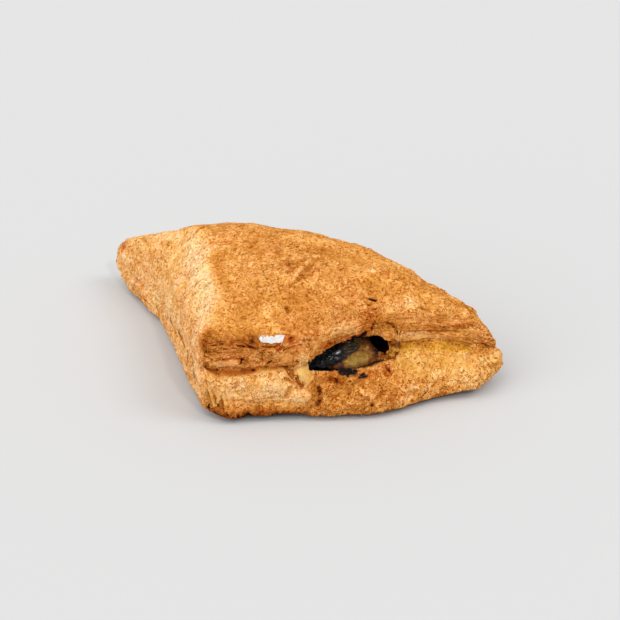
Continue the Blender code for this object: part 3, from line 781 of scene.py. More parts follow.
stains = (  # dough reddened by the juice
    (((43, -8.7, 26.6), (45.7, -8.1, 26.9), (50.9, -6.6, 26.9), (56.7, -5.4, 27.6)), 1.3, 0.9),
    (((58, -3.8, 30.2), (62, -2.8, 31.5), (63.5, 0, 33.5)), 2.2, 0.4),
    (((43, -12.3, 16.6), (47, -12.6, 16)), 1.6, 0.5),
    (((55, -13, 14.8), (60, -12.8, 15)), 1.8, 0.5),
    (((65, -10.4, 16.2), (66.5, -11.5, 15)), 1.5, 0.55),
    (((71.5, -4.3, 26.8), (76.8, -3.3, 26.5), (84.4, -2.9, 25), (91, -3, 24.5), (97.8, -2.8, 24.8)), 1.0, 0.6),
    (((31.3, -8.8, 31),), 1.8, 0.8),
    (((26.8, -9.8, 29),), 1.4, 0.8),
    (((1.8, -4.7, 21.5), (5.2, -5.8, 19.9), (12.5, -7.2, 19.5), (18.8, -8.4, 20.3)), 1.2, 0.5),
    (((28.3, -10.2, 21.4), (34.4, -12.3, 13.9)), 0.9, 0.8),
    (((-10, 107.4, 18.3), (-11.8, 105, 13)), 2.2, 0.5),
)
burnsAndTipShade = (  # charred edges, and black painted shade at the burst's left tip
    (((54.5, -5.5, 27.2), (59.1, -4.8, 27.6)), 0.5, 1),
    (((49, -11.6, 17.1), (53.5, -12, 16.4)), 1.2, 1),
    (((55, -13, 14.8), (58, -12.6, 14.6)), 0.6, 1),
    # black painted shade that carries the burst's dark slit on to its left tip
    (((36.6, -11.3, 22.7), (38.4, -10.6, 22.5), (40.4, -9.8, 22.8)), 0.7, 1),
)


def courseOf(x, z):
    # where a place in the left band lies in the stack of courses
    stack = np.array([number for number, heights in courses["lines"]])
    heights = np.array([np.interp(x, courses["x"], line) for number, line in courses["lines"]])
    found = stack[0] + 0.7 * (z - heights[0])
    for k in range(1, len(stack)):
        share = (z - heights[k - 1]) / (heights[k] - heights[k - 1])
        found = np.where(share > 0, stack[k - 1] + share * (stack[k] - stack[k - 1]), found)
    return np.where(z > heights[-1], stack[-1] + 0.7 * (z - heights[-1]), found)


def shapeCrust(crust):
    spots = spotsOf(crust)
    out = normalsOf(crust)
    level = valuesOf(crust, "level")
    outside = 1 - step(0, 0.6, valuesOf(crust, "inside"))
    overhang = (1 - step(0.1, 1.2, abs(level - 4))) * (1 - step(16, 28, spots[:, 0])) * step(0.3, 0.7, -out[:, 1])
    spots[:, 1] -= crustLook["overhang"] * overhang
    x, y, z = spots.T
    wobble = np.stack([soft(spots, 3, 2, seed) for seed in (1, 2, 3)], axis=1)
    bent = spots + crustLook["bend"] * wobble

    # how far every vertex belongs to a part of the crust, from 0 to 1
    front = step(0.25, 0.7, -out[:, 1])
    left = step(0.3, 0.7, -out[:, 0]) * (1 - front)
    under = step(0.4, 0.8, -out[:, 2])
    side = 1 - step(5.9, 6.4, level)
    band = step(4.3, 4.9, level) * side * front
    lower = step(0.7, 1.5, level) * (1 - step(3.4, 4.1, level)) * front
    toLeft = 1 - step(32, 42, x)
    toRight = step(64, 74, x)
    between = (1 - toLeft) * (1 - toRight)
    tip = step(97, 103, x)
    swollen = between * step(4.3, 4.9, level) * (1 - step(6.3, 7.3, level)) * step(0.05, 0.4, -out[:, 1])
    wing = (1 - step(7, 15, x)) * step(2, 16, y) * (1 - left)
    paler = np.maximum(left, wing)
    parts = {
        # left and wing: paler, partly as painted light
        "left": left,
        "wing": wing,
        "bandLeft": band * toLeft,
        "bandMiddle": band * between,
        "bandRight": band * toRight,
        "lowerLeft": lower * toLeft,
        "lowerMiddle": lower * between,
        "lowerRight": lower * toRight,
        # foot, leftFoot, sole and under: darker, partly painted shade where the crust meets the table
        "foot": 1 - step(0.9, 1.5, level),
        "leftFoot": front * toLeft * (1 - step(3.5, 9, z)),
        "sole": step(-0.2, 0.2, -out[:, 1]) * (1 - step(0.3, 0.8, level)),
        "under": under,
    }

    # relief common to the whole crust, gentler where the dough is calm and on the back slopes
    waves = soft(spots, 17, 2, 4)
    blisters = soft(spots, 5.5, 2, 5)
    veins = veined(spots, 2.3, 6)
    fine = veined(spots, 1.25, 7)
    shelf = parts["lowerRight"] * step(1.7, 2.5, level) * (1 - tip)
    calm = np.max([strongest(spots, calmPaths, 0.5), 0.5 * band, 0.5 * shelf], axis=0)
    even = 1 - 0.5 * step(0, 0.5, out[:, 1])
    rise = crustLook["bigWaves"] * waves + crustLook["blisters"] * blisters * (1 - 0.5 * band) * even
    rise += (crustLook["veins"] * veins + crustLook["fine"] * fine) * (1 - 0.8 * calm) * even

    # sheets of dough along the cut edges
    along = x - y
    layer = np.interp(level, range(10), crustLook["layersAt"])
    layer = layer * (1 - toLeft) + (20 + courseOf(x, z)) * toLeft
    layer += (0.9 * (1 - toLeft) + 0.25 * toLeft) * soft(spots, 11, 2, 8)
    flow = np.stack([along, layer, 0 * x], axis=1)
    leaves = 1 - 2.4 * abs(soft(flow, (9, 1.5, 5), 2, 9))
    sheet = band * (toLeft + 0.7 * toRight) + 0.6 * swollen + 0.3 * left * side + 0.12 * lower
    rise += np.maximum(sheet, 0.25 * lower) * crustLook["leaves"] * leaves

    # browning
    blotches = 0.09 + 0.07 * paler + 0.07 * lower * (1 - toLeft)
    bake = crustLook["bake"] + sum(change * parts[part] for part, change in crustLook["tones"].items())
    bake -= 0.03 * waves + blotches * blisters + (0.05 * veins + 0.03 * fine) * (1 - 0.6 * calm)
    bake -= 0.09 * np.maximum(paler, parts["lowerRight"]) * soft(spots, 8, 2, 15)
    for kind, group in marks.items():
        edge = 0.9 if kind == "swells" else 0.4
        strength = 0.75 if kind == "lines" else 1
        for path, width, lift, darker in group:
            amount = stroke(bent, path, width, edge) * outside
            rise += lift * amount * strength
            bake += darker * amount * (0.7 if kind == "lines" else 1)

    # oil that ran out on the right of the burst, red juice, char and black painted shade at the burst's left tip
    spilled = stroke(bent, oilPath, 2.2, 0.8)
    film = 0.36 * parts["lowerRight"] * step(1.8, 2.6, level)
    oil = np.maximum(np.maximum(spilled, film) * outside, 0.44 * stroke(bent, cornerOil, 2.2, 0.8))
    bake += 0.07 * stroke(bent, oilPath, 1.4, 0.8)
    stain = strongest(bent, stains, 0.8) * outside
    char = strongest(bent, burnsAndTipShade, 0.6) * outside

    # where the grain is quiet, rough or full of pinholes
    calm = np.max([calm, 0.55 * wing, 0.22 * parts["lowerLeft"]], axis=0) * (1 - 0.9 * spilled)
    rough = front * np.maximum(1 - step(1.1, 1.7, level), (1 - step(1.8, 2.8, level)) * step(36, 46, x))
    rough = np.maximum(rough, tip)
    holes = paler * step(-0.3, 0.4, soft(spots, 14, 2, 14)) * outside

    # torn lips
    near = strongest(spots, lips, 0.9)
    torn = np.stack([soft(spots, 1.5, 2, seed) for seed in (11, 12, 13)], axis=1)
    spots = spots + out * (rise * outside * (1 - 0.7 * under))[:, None]
    spots += crustLook["lipTear"] * near[:, None] * torn
    spots[:, 2] = np.maximum(spots[:, 2], 0)
    moved(crust, spots)
    for name, amounts in (
        ("bake", np.clip(bake, -0.2, 1.2)),
        ("oil", oil),
        ("char", char),
        ("stain", stain),
        # the inside of the pocket, painted near black as shade
        ("pocketShade", 1 - outside),
        ("sheet", sheet * outside),
        ("calm", (calm - 0.7 * rough * (1 - calm)) * outside),
        ("holes", holes),
        ("along", along),
        ("layer", layer),
    ):
        painted(crust, name, amounts)


def thinned(made, triangles):
    # fewer faces where the surface is smooth
    thin = made.modifiers.new("thin", "DECIMATE")
    thin.ratio = triangles / sum(len(face.vertices) - 2 for face in made.data.polygons)
    return withModifiers(made)


shapeCrust(crust)
thinned(crust, dough["triangles"])
print("crust relief made:", len(crust.data.polygons), "faces")


def copiedNode(name):
    # a CAD solid as a mesh of quads in the plan's mm
    mesh = bmesh.new()
    mesh.from_mesh(frame["nodes"][name].data)
    bmesh.ops.remove_doubles(mesh, verts=mesh.verts, dist=0.00002)
    bmesh.ops.join_triangles(
        mesh, faces=mesh.faces, angle_face_threshold=1.2, angle_shape_threshold=1.2, cmp_sharp=False
    )
    bmesh.ops.transform(mesh, matrix=fromPlan.inverted(), verts=mesh.verts)
    bmesh.ops.recalc_face_normals(mesh, faces=mesh.faces)
    return mesh


fleshLook = {
    "detail": 3,
    "lumps": 0.4,
    "fibres": 0.2,
    "seeds": 0.22,
    "tone": 0.38,
    "browner": (54, 64, 0.2),  # towards the right: from x, to x, change in tone
    "bulges": (  # where it swells against the lower lip: path, half width, rise in mm
        (((50, -8, 18.6), (56, -8, 18.2), (61, -5.5, 18)), 3.6, 2.0),
        (((64, -4, 19), (65, -3, 18.5)), 3, 1.4),
    ),
    "tones": (  # path, half width, change in tone: under 0 pale, over 0 brown
        (((63, -5, 20), (65, -4, 19.5), (64, -4.5, 17.5)), 2.2, 0.36),
        (((38, -8.5, 19.5), (44, -8.5, 19), (48.5, -8.8, 18.6)), 2.4, 0.42),
        (((52, -8, 19), (57, -8, 19.5), (60, -6.5, 21)), 1.8, -0.14),
        (((58.5, -6.4, 20.6), (60.5, -5.4, 20.8)), 1.0, 0.1),
        (((56, -2.6, 23.4), (60, -1, 22.6)), 1.6, -0.06),
    ),
}


def makeFlesh():
    flesh = subdivided(newObject("aubergineFlesh", copiedNode("filling")), fleshLook["detail"])
    spots = spotsOf(flesh)
    out = normalsOf(flesh)
    seen = 1 - step(2, 8, spots[:, 1])
    lumps = soft(spots, 4, 2, 21)
    fibres = soft(spots, (2.4, 1.4, 0.9), 2, 22)
    seeds = bubbled(spots, 1.7, 23)
    rise = fleshLook["lumps"] * lumps + fleshLook["fibres"] * fibres + fleshLook["seeds"] * (seeds - 0.6)
    rise *= seen
    for path, width, lift in fleshLook["bulges"]:
        rise += lift * stroke(spots, path, width, 0.9)
    start, end, browner = fleshLook["browner"]
    tone = fleshLook["tone"] + 0.14 * lumps + 0.2 * fibres - 0.1 * (seeds - 0.5)
    tone += browner * step(start, end, spots[:, 0])
    for path, width, darker in fleshLook["tones"]:
        tone += darker * stroke(spots, path, width, 0.7)
    painted(flesh, "tone", tone)
    # darker deeper inside the pocket: painted shade
    painted(flesh, "depth", step(-0.5, 5, spots[:, 1]))
    moved(flesh, spots + out * rise[:, None])
    return flesh


skinLook = {
    "path": ((38, -8, 20.4), (42, -7.6, 20.9), (46, -7.2, 21.7), (50, -6.4, 22.8), (54.2, -5, 24.2)),
    "width": 3.7,
    "roundness": 1.1,
    "ragged": 0.6,  # how far its edges wander, in mm
    # glints and sheen streaks: painted highlight and painted faint reflections on the glossy skin
    "glints": ((((48.2, -8.4, 23.7), (49.3, -8.2, 24.1)), 0.75, 1),),
    "sheenStreaks": ((((43.6, -9, 21.6), (47.6, -8.7, 22.6)), 1.5, 0.22),),
}


def makeSkin():
    # the strip of skin hugs the flesh: the faces under it, doubled and lifted to a round
    mesh = bmesh.new()
    mesh.from_mesh(flesh.data)
    number = mesh.verts.layers.int.new("number")
    for vert in mesh.verts:
        vert[number] = vert.index
    spots = np.array([vert.co for vert in mesh.verts])
    ways = [vert.normal.copy() for vert in mesh.verts]
    across = closeTo(spots, skinLook["path"]) / (skinLook["width"] + skinLook["ragged"] * soft(spots, 1.4, 2, 34))
    lift = skinLook["roundness"] * np.sqrt(np.clip(1 - across**2, 0.05, 1))
    lift += 0.22 * soft(spots, (2.4, 1.0, 1.0), 2, 31) + 0.1 * soft(spots, (0.7, 6, 6), 1, 32)
    bare = [face for face in mesh.faces if any(across[vert.index] > 1 for vert in face.verts)]
    bmesh.ops.delete(mesh, geom=bare, context="FACES")
    raised = bmesh.ops.extrude_face_region(mesh, geom=mesh.faces, use_keep_orig=True)["geom"]
    top = {item for item in raised if isinstance(item, bmesh.types.BMVert)}
    for vert in mesh.verts:
        way = ways[vert[number]]
        vert.co += way * (lift[vert[number]] + 0.1 if vert in top else -0.2)
    bmesh.ops.recalc_face_normals(mesh, faces=mesh.faces)
    skin = subdivided(newObject("aubergineSkin", mesh), 1)
    spots = spotsOf(skin)
    painted(skin, "worn", 0.95 * step(49.4, 52.6, spots[:, 0] + 1.2 * soft(spots, 1.6, 2, 35)))
    painted(skin, "streak", 0.5 + 0.5 * soft(spots, (3, 0.8, 0.4), 2, 33))
    # painted highlight and painted faint reflections: the skin's colour turns pale grey there
    glint = strongest(spots, skinLook["glints"], 0.7) * step(-0.4, 0.2, soft(spots, 0.6, 2, 36))
    sheenStreaks = strongest(spots, skinLook["sheenStreaks"], 0.7) * step(0.1, 0.6, soft(spots, (1.4, 0.5, 0.5), 2, 37))
    painted(skin, "glint", np.maximum(glint, sheenStreaks))
    return skin


flesh = makeFlesh()
skin = makeSkin()
print("filling made")


def makeLumps(name, shapes, rough, seed):
    # rough lumps in one mesh, each given by its place, radii and turn
    mesh = bmesh.new()
    for place, radii, turn in shapes:
        ball = bmesh.ops.create_icosphere(mesh, subdivisions=4, radius=1)["verts"]
        shape = Matrix.Translation(place) @ Matrix.Rotation(math.radians(turn), 4, "Y")
        bmesh.ops.transform(mesh, matrix=shape @ Matrix.Diagonal((*radii, 1)), verts=ball)
    made = newObject(name, mesh)
    spots = spotsOf(made)
    rise = rough * (soft(spots, 1.3, 2, seed) + 0.5 * soft(spots, 0.5, 2, seed + 1))
    moved(made, spots + normalsOf(made) * rise[:, None])
    return made


charLook = {
    "rough": 0.4,
    "lumps": (
        ((49.6, -11.2, 17.1), (1.3, 0.9, 0.9), 10),
        ((51.6, -11.7, 16.6), (1.9, 1.0, 1.4), -15),
        ((53.8, -11.7, 16.5), (1.3, 0.8, 1.0), 0),
        ((51.2, -12.3, 15.6), (1.3, 0.7, 0.8), 20),
        ((56.4, -12.7, 14.9), (1.6, 0.6, 0.9), -40),
        ((57.6, -12.6, 14.3), (0.8, 0.5, 0.5), 10),
    ),
}
crumbLook = {
    "seed": 11,
    "count": 72,
    "path": ((63.2, -5.2, 17.6), (66, -7, 17.5), (68.4, -7.4, 18.3), (70.2, -6.6, 20.4), (70.8, -5.6, 22.8)),
    "tones": (0.95, 0.8, 0.72, 0.82, 0.88),  # brown where they touch the filling, then amber
    "spread": 0.9,
    "radius": (0.5, 1.3),
    "rough": 0.34,
}


def makeCrumbs():
    # oily crumbs that fill the right corner of the burst
    chance = random.Random(crumbLook["seed"])
    path = [Vector(place) for place in crumbLook["path"]]
    shapes, tones = [], []
    for _ in range(crumbLook["count"]):
        piece, share = chance.randrange(len(path) - 1), chance.random()
        place = path[piece].lerp(path[piece + 1], share)
        place += Vector([chance.gauss(0, 0.5) * crumbLook["spread"] for _ in range(3)])
        size = chance.uniform(*crumbLook["radius"])
        shapes.append((place, [size * chance.uniform(0.7, 1.2) for _ in range(3)], chance.uniform(0, 180)))
        before, after = crumbLook["tones"][piece : piece + 2]
        tones.append(before + (after - before) * share + chance.gauss(0, 0.12))
    made = makeLumps("oilyCrumbs", shapes, crumbLook["rough"], 51)
    painted(made, "tone", np.repeat(tones, len(made.data.vertices) // len(tones)))
    return made


fleckLook = {
    "place": (24.5, -8.4, 32.1),
    "turn": -12,
    "lean": -58,
    "halfLength": 4.2,
    "halfWidth": 1.6,
    "thickness": 0.3,
}


def makeFleck():
    # a thin white scrap stuck to the shoulder, ragged along its upper side
    mesh = bmesh.new()
    bmesh.ops.create_grid(mesh, x_segments=36, y_segments=12, size=1)
    for vert in mesh.verts:
        u, v = vert.co.x, vert.co.y
        narrow = 1 - 0.5 * max(-u - 0.2, 0) - 0.2 * max(u, 0)
        ragged = 0.3 * noise.noise(Vector((u * 3.1, v * 1.5, 4))) + 0.2 * noise.noise(Vector((u * 7.3, v * 3, 9)))
        notch = 0.6 * max(v, 0) * math.exp(-(((u - 0.15) / 0.16) ** 2))
        across = fleckLook["halfWidth"] * (v * narrow + ragged * abs(v) - notch)
        vert.co = Vector((fleckLook["halfLength"] * u + 0.5 * v * u, 0, across))
    bmesh.ops.solidify(mesh, geom=mesh.faces, thickness=fleckLook["thickness"])
    bmesh.ops.recalc_face_normals(mesh, faces=mesh.faces)
    laid = Matrix.Translation(fleckLook["place"]) @ Matrix.Rotation(math.radians(fleckLook["turn"]), 4, "Z")
    laid = laid @ Matrix.Rotation(math.radians(fleckLook["lean"]), 4, "X")
    bmesh.ops.transform(mesh, matrix=laid, verts=mesh.verts)
    return newObject("whiteFleck", mesh)


# Leaves of dough that came loose: path in mm, half width, how far one edge lifts, bake
leafLook = {
    "thickness": 0.2,
    "steps": (16, 4),
    "leaves": (
        (((28.4, -10.4, 21.8), (31.2, -11.6, 18.2), (34.6, -12.6, 13.8)), 0.95, 0.9, 0.8),
        (((0.4, -4.8, 13), (1.2, -5.6, 7.4)), 0.7, 0.8, 0.36),
        (((2.4, -6.2, 13.8), (3, -6.6, 10), (4, -6.9, 7)), 0.7, 0.8, 0.38),
        (((6, -7.4, 12.4), (4.7, -7.1, 8)), 0.6, 0.7, 0.36),
        (((-0.6, 49, 14), (-0.6, 44, 12)), 0.7, 0.6, 0.3),
        (((-0.6, 38, 15), (-0.6, 34, 12.5)), 0.8, 0.6, 0.26),
        (((-0.6, 30, 16), (-0.6, 26.5, 13)), 0.8, 0.7, 0.28),
        (((-0.6, 20, 15.5), (-0.6, 16.5, 12)), 0.8, 0.7, 0.26),
        (((-0.5, 8, 17), (-0.6, 4, 13)), 0.8, 0.7, 0.24),
        (((71, -4.6, 27.4), (77, -3.6, 26.6), (84.4, -3, 25.2)), 0.8, 0.5, 0.68),
        (((82, -3, 25.4), (90, -3.2, 24.6), (97, -3.2, 24.6)), 0.8, 0.5, 0.7),
        (((94, -3.8, 23.8), (99.5, -4.4, 21.6), (104.5, -5, 18.4)), 0.8, 0.5, 0.5),
        (((73.6, -5, 23.6), (80, -4.2, 22.9), (86, -3.6, 22)), 1.1, 0.8, 0.34),
        (((88, -4, 22), (94, -4.6, 20.8), (100, -5.4, 18.4)), 0.8, 0.6, 0.44),
        (((66.5, -4.4, 29), (70.5, -4.6, 26.8)), 0.8, 0.6, 0.6),
    ),
    "fibres": (
        (((70.6, -4.6, 27.6), (71, -5.8, 24), (70.6, -6.6, 21.6)), 0.24, 0.9, 0.4),
        (((72, -4.6, 27), (71.6, -5.6, 24), (70.9, -6.4, 21.8)), 0.24, 0.9, 0.34),
        (((73.4, -4.4, 26.4), (72.4, -5.4, 24), (71.6, -6.2, 21.6)), 0.26, 0.9, 0.36),
        (((69.8, -4.8, 27.6), (69.9, -5.8, 25.2)), 0.2, 0.8, 0.46),
        (((75, -4.2, 26), (74.4, -5, 24.2)), 0.2, 0.8, 0.44),
        (((41.7, -8.2, 22.9), (40.6, -8.8, 21.2)), 0.14, 0.4, 0.1),
    ),
}


def placeAlong(path, share):
    # the place and the heading at a share of a path
    points = [Vector(point) for point in path]
    reach = share * (len(points) - 1)
    piece = min(int(reach), len(points) - 2)
    near = [points[min(max(piece + k, 0), len(points) - 1)] for k in (-1, 0, 1, 2)]
    place = curve(near, (1, 1, 1), reach - piece)
    return place, (curve(near, (1, 1, 1), min(reach - piece + 0.05, 1.0)) - near[1]).normalized()


def addLeaf(mesh, tone, ground, leaf):
    path, width, lifted, bake = leaf
    first = len(mesh.verts)
    steps, rows = leafLook["steps"]
    made = bmesh.ops.create_grid(mesh, x_segments=steps, y_segments=rows, size=1)["verts"]
    for vert in made:
        share, across = (vert.co.x + 1) / 2, vert.co.y
        place, heading = placeAlong(path, share)
        way = ground.find_nearest(place)[1]
        taper = math.sin(math.pi * (0.08 + 0.84 * share)) ** 0.6 + 0.25 * noise.noise(place * 0.9)
        wide = place + heading.cross(way).normalized() * across * width * taper
        foot, way = ground.find_nearest(wide)[:2]
        curl = lifted * ((1 - across) / 2) ** 2 * (0.6 + 0.5 * noise.noise(place * 0.5))
        vert.co = foot + way * (0.1 + curl + 0.15 * noise.noise(wide * 0.8))
    faces = list(dict.fromkeys(face for vert in made for face in vert.link_faces))
    bmesh.ops.solidify(mesh, geom=faces, thickness=leafLook["thickness"])
    mesh.verts.ensure_lookup_table()
    for vert in mesh.verts[first:]:
        vert[tone] = bake + 0.12 * noise.noise(vert.co * 0.7)


def makeLeaves(ground):
    mesh = bmesh.new()
    tone = mesh.verts.layers.float.new("bake")
    for leaf in leafLook["leaves"] + leafLook["fibres"]:
        addLeaf(mesh, tone, ground, leaf)
    bmesh.ops.recalc_face_normals(mesh, faces=mesh.faces)
    mesh.verts.sort(key=lambda vert: vert.co.x + 0.37 * vert.co.y + 0.11 * vert.co.z)
    made = newObject("looseLeaves", mesh)
    painted(made, "calm", [0.8] * len(made.data.vertices))
    return made


sliverLook = {
    "seed": 4,
    "count": 4200,
    "length": (0.5, 1.5),
    "width": (0.16, 0.3),
    "height": (0.06, 0.13),
    "paler": 0.03,
    "mixed": 0.05,
}


def makeSlivers():
    # crisp slivers and crumbs all over the crust: one small ball, copied and stretched in place
    chance = np.random.default_rng(sliverLook["seed"])
    spots, out, bake = spotsOf(crust), normalsOf(crust), valuesOf(crust, "bake")
    wanted = (1 - valuesOf(crust, "pocketShade")) * (1 - valuesOf(crust, "char")) * step(0.6, 2, spots[:, 2])
    wanted = np.clip(wanted, 0, 1) * (0.35 + step(-0.2, 0.5, soft(spots, 9, 2, 61)))
    count = sliverLook["count"]
    picked = chance.choice(len(spots), count, replace=False, p=wanted / wanted.sum())
    spots, out, bake = spots[picked], out[picked], bake[picked]
    mesh = bmesh.new()
    bmesh.ops.create_icosphere(mesh, subdivisions=1, radius=1)
    made = newObject("crispSlivers", mesh)
    ball = spotsOf(made)
    many = made.modifiers.new("many", "ARRAY")
    many.use_relative_offset = False
    many.count = count
    withModifiers(made)
    heading = np.cross(out, chance.normal(size=(count, 3)))
    heading /= np.linalg.norm(heading, axis=1)[:, None]
    sizes = [chance.uniform(*sliverLook[name], count)[:, None] for name in ("length", "width", "height")]
    axes = np.stack([heading * sizes[0], np.cross(out, heading) * sizes[1], out * sizes[2]], axis=1)
    moved(made, ((spots + out * 0.03)[:, None, :] + ball[None] @ axes).reshape(-1, 3))
    tone = bake - sliverLook["paler"] + chance.normal(size=count) * sliverLook["mixed"]
    painted(made, "bake", np.repeat(tone, len(ball)))
    return made


char = makeLumps("charredBits", charLook["lumps"], charLook["rough"], 41)
crumbs = makeCrumbs()
fleck = makeFleck()
leaves = makeLeaves(BVHTree.FromObject(crust, bpy.context.evaluated_depsgraph_get()))
slivers = makeSlivers()
print("small pieces made")


def srgb(red, green, blue):
    parts = [part / 255 for part in (red, green, blue)]
    return (*(part / 12.92 if part <= 0.04 else ((part + 0.055) / 1.055) ** 2.4 for part in parts), 1)


def placed(nodes, kind, **settings):
    node = nodes.new(kind)
    for name, setting in settings.items():
        setattr(node, name, setting)
    return node


def fed(tree, pairs):
    # every slot gets a link from a socket, or else a fixed value
    for slot, side in pairs:
        if isinstance(side, bpy.types.NodeSocket):
            tree.links.new(side, slot)
        else:
            slot.default_value = side


def math2(tree, operation, first, second, clamp=False):
    node = placed(tree.nodes, "ShaderNodeMath", operation=operation, use_clamp=clamp)
    fed(tree, zip(node.inputs, (first, second)))
    return node.outputs[0]


def added(tree, first, second, clamp=False):
    return math2(tree, "ADD", first, second, clamp)


def times(tree, first, second):
    return math2(tree, "MULTIPLY", first, second)


def mixed(tree, amount, first, second, blend="MIX"):
    node = placed(tree.nodes, "ShaderNodeMix", data_type="RGBA", blend_type=blend)
    fed(tree, ((node.inputs[0], amount), (node.inputs[6], first), (node.inputs[7], second)))
    return node.outputs[2]


def ramp(tree, amount, stops):
    node = placed(tree.nodes, "ShaderNodeValToRGB")
    while len(node.color_ramp.elements) < len(stops):
        node.color_ramp.elements.new(0.5)
    for element, (at, colour) in zip(node.color_ramp.elements, stops):
        element.position = at
        element.color = colour
    tree.links.new(amount, node.inputs[0])
    return node.outputs[0]


def attribute(tree, name):
    return placed(tree.nodes, "ShaderNodeAttribute", attribute_name=name).outputs["Fac"]


def noiseNode(tree, detail, roughness, distortion):
    node = placed(tree.nodes, "ShaderNodeTexNoise", noise_dimensions="3D")
    node.inputs["Detail"].default_value = detail
    node.inputs["Roughness"].default_value = roughness
    node.inputs["Distortion"].default_value = distortion
    return node


def spanned(tree, amount, low, high):
    # stretches a value so that low to high becomes 0 to 1
    node = placed(tree.nodes, "ShaderNodeMapRange", clamp=True)
    node.inputs["From Min"].default_value = low
    node.inputs["From Max"].default_value = high
    tree.links.new(amount, node.inputs["Value"])
    return node.outputs["Result"]


def lineAt(tree, texture, middle):
    # 1 along the line where a noise has the given value, fading to both sides
    away = math2(tree, "ABSOLUTE", math2(tree, "SUBTRACT", texture.outputs["Fac"], middle), 0)
    return spanned(tree, away, 0.05, 0.0)


def makeGrainGroup():
    # crumb: a mottle of the given size in mm, crooked strands with a gap along each, their height, pinholes
    group = bpy.data.node_groups.new("crumbGrain", "ShaderNodeTree")
    group.interface.new_socket("Size", in_out="INPUT", socket_type="NodeSocketFloat").default_value = 1
    for output in ("Mottle", "Strands", "Height", "Pits"):
        group.interface.new_socket(output, in_out="OUTPUT", socket_type="NodeSocketFloat")
    ends = placed(group.nodes, "NodeGroupInput"), placed(group.nodes, "NodeGroupOutput")
    spot = placed(group.nodes, "ShaderNodeTexCoord").outputs["Object"]
    scale = math2(group, "DIVIDE", 1000.0, ends[0].outputs["Size"])
    mottle = noiseNode(group, 3, 0.65, 0.6)
    strands = noiseNode(group, 1, 0.5, 1.6)
    pits = placed(group.nodes, "ShaderNodeTexVoronoi")
    for texture in (mottle, strands, pits):
        group.links.new(spot, texture.inputs["Vector"])
        group.links.new(scale, texture.inputs["Scale"])
    spread = spanned(group, mottle.outputs["Fac"], 0.32, 0.68)
    raised = math2(group, "SUBTRACT", lineAt(group, strands, 0.53), lineAt(group, strands, 0.45))
    raised = added(group, times(group, raised, 0.5), 0.5)
    kept = math2(group, "GREATER_THAN", pits.outputs["Color"], 0.62)
    hole = times(group, spanned(group, pits.outputs["Distance"], 0.17, 0.08), kept)
    height = added(group, times(group, spread, 0.5), times(group, raised, 0.5))
    for output, source in (("Mottle", spread), ("Strands", raised), ("Height", height), ("Pits", hole)):
        group.links.new(source, ends[1].inputs[output])
    return group


grainGroup = makeGrainGroup()


def grain(tree, size):
    node = placed(tree.nodes, "ShaderNodeGroup", node_tree=grainGroup)
    node.inputs["Size"].default_value = size
    return node.outputs


def about(tree, amount, strength):
    # a value from 0 to 1 turned into a change round 0
    return times(tree, math2(tree, "SUBTRACT", amount, 0.5), strength)


def bump(tree, shader, height, strength, distance):
    node = placed(tree.nodes, "ShaderNodeBump")
    node.inputs["Strength"].default_value = strength
    node.inputs["Distance"].default_value = distance
    tree.links.new(height, node.inputs["Height"])
    tree.links.new(node.outputs[0], shader.inputs["Normal"])


def newMaterial(name):
    made = bpy.data.materials.new(name)
    made.use_nodes = True
    return made, made.node_tree, made.node_tree.nodes["Principled BSDF"]


bakedCrust = {
    "stops": (
        (0.00, srgb(255, 228, 182)),
        (0.14, srgb(255, 214, 162)),
        (0.33, srgb(247, 193, 124)),
        (0.48, srgb(226, 162, 88)),
        (0.62, srgb(205, 140, 67)),
        (0.80, srgb(168, 100, 44)),
        (0.91, srgb(113, 58, 24)),
        (1.00, srgb(52, 29, 17)),
    ),
    "tints": ((0.1, srgb(255, 251, 238)), (0.45, srgb(255, 255, 255)), (0.9, srgb(255, 247, 250))),
    # painted shade in the strands' gaps, mid tone, painted highlight on the strands
    "paintedStrandShading": ((0.0, srgb(178, 124, 50)), (0.5, srgb(236, 224, 193)), (0.85, srgb(250, 250, 246))),
    "sheets": srgb(232, 214, 206),  # the cut edges are duller than the top
    "oil": srgb(230, 226, 100),
    "stain": srgb(246, 186, 184),
    # near black painted shade inside the pocket
    "char": srgb(22, 18, 20),
    # char colour, also used as painted shade at the burst's left tip
    "pocketShade": srgb(40, 20, 12),
    "roughness": 0.5,
    "oilCoat": 0.25,
    "grainSizes": (3.6, 1.9, 11),  # coarse, fine and broad, in mm
    "pitSize": 4,
    "sheetSize": (6.0, 0.85),  # length and thickness of the streaks on a cut edge, in mm
}


def streaks(tree):
    # dark gaps between the sheets of dough, from 0 to 1, and a height for the bump
    spot = placed(tree.nodes, "ShaderNodeCombineXYZ")
    for socket, name, size in zip(spot.inputs, ("along", "layer"), bakedCrust["sheetSize"]):
        tree.links.new(math2(tree, "DIVIDE", attribute(tree, name), size), socket)
    bands = noiseNode(tree, 2, 0.6, 0.5)
    bands.inputs["Scale"].default_value = 1
    tree.links.new(spot.outputs[0], bands.inputs["Vector"])
    return spanned(tree, bands.outputs["Fac"], 0.44, 0.34), bands.outputs["Fac"]


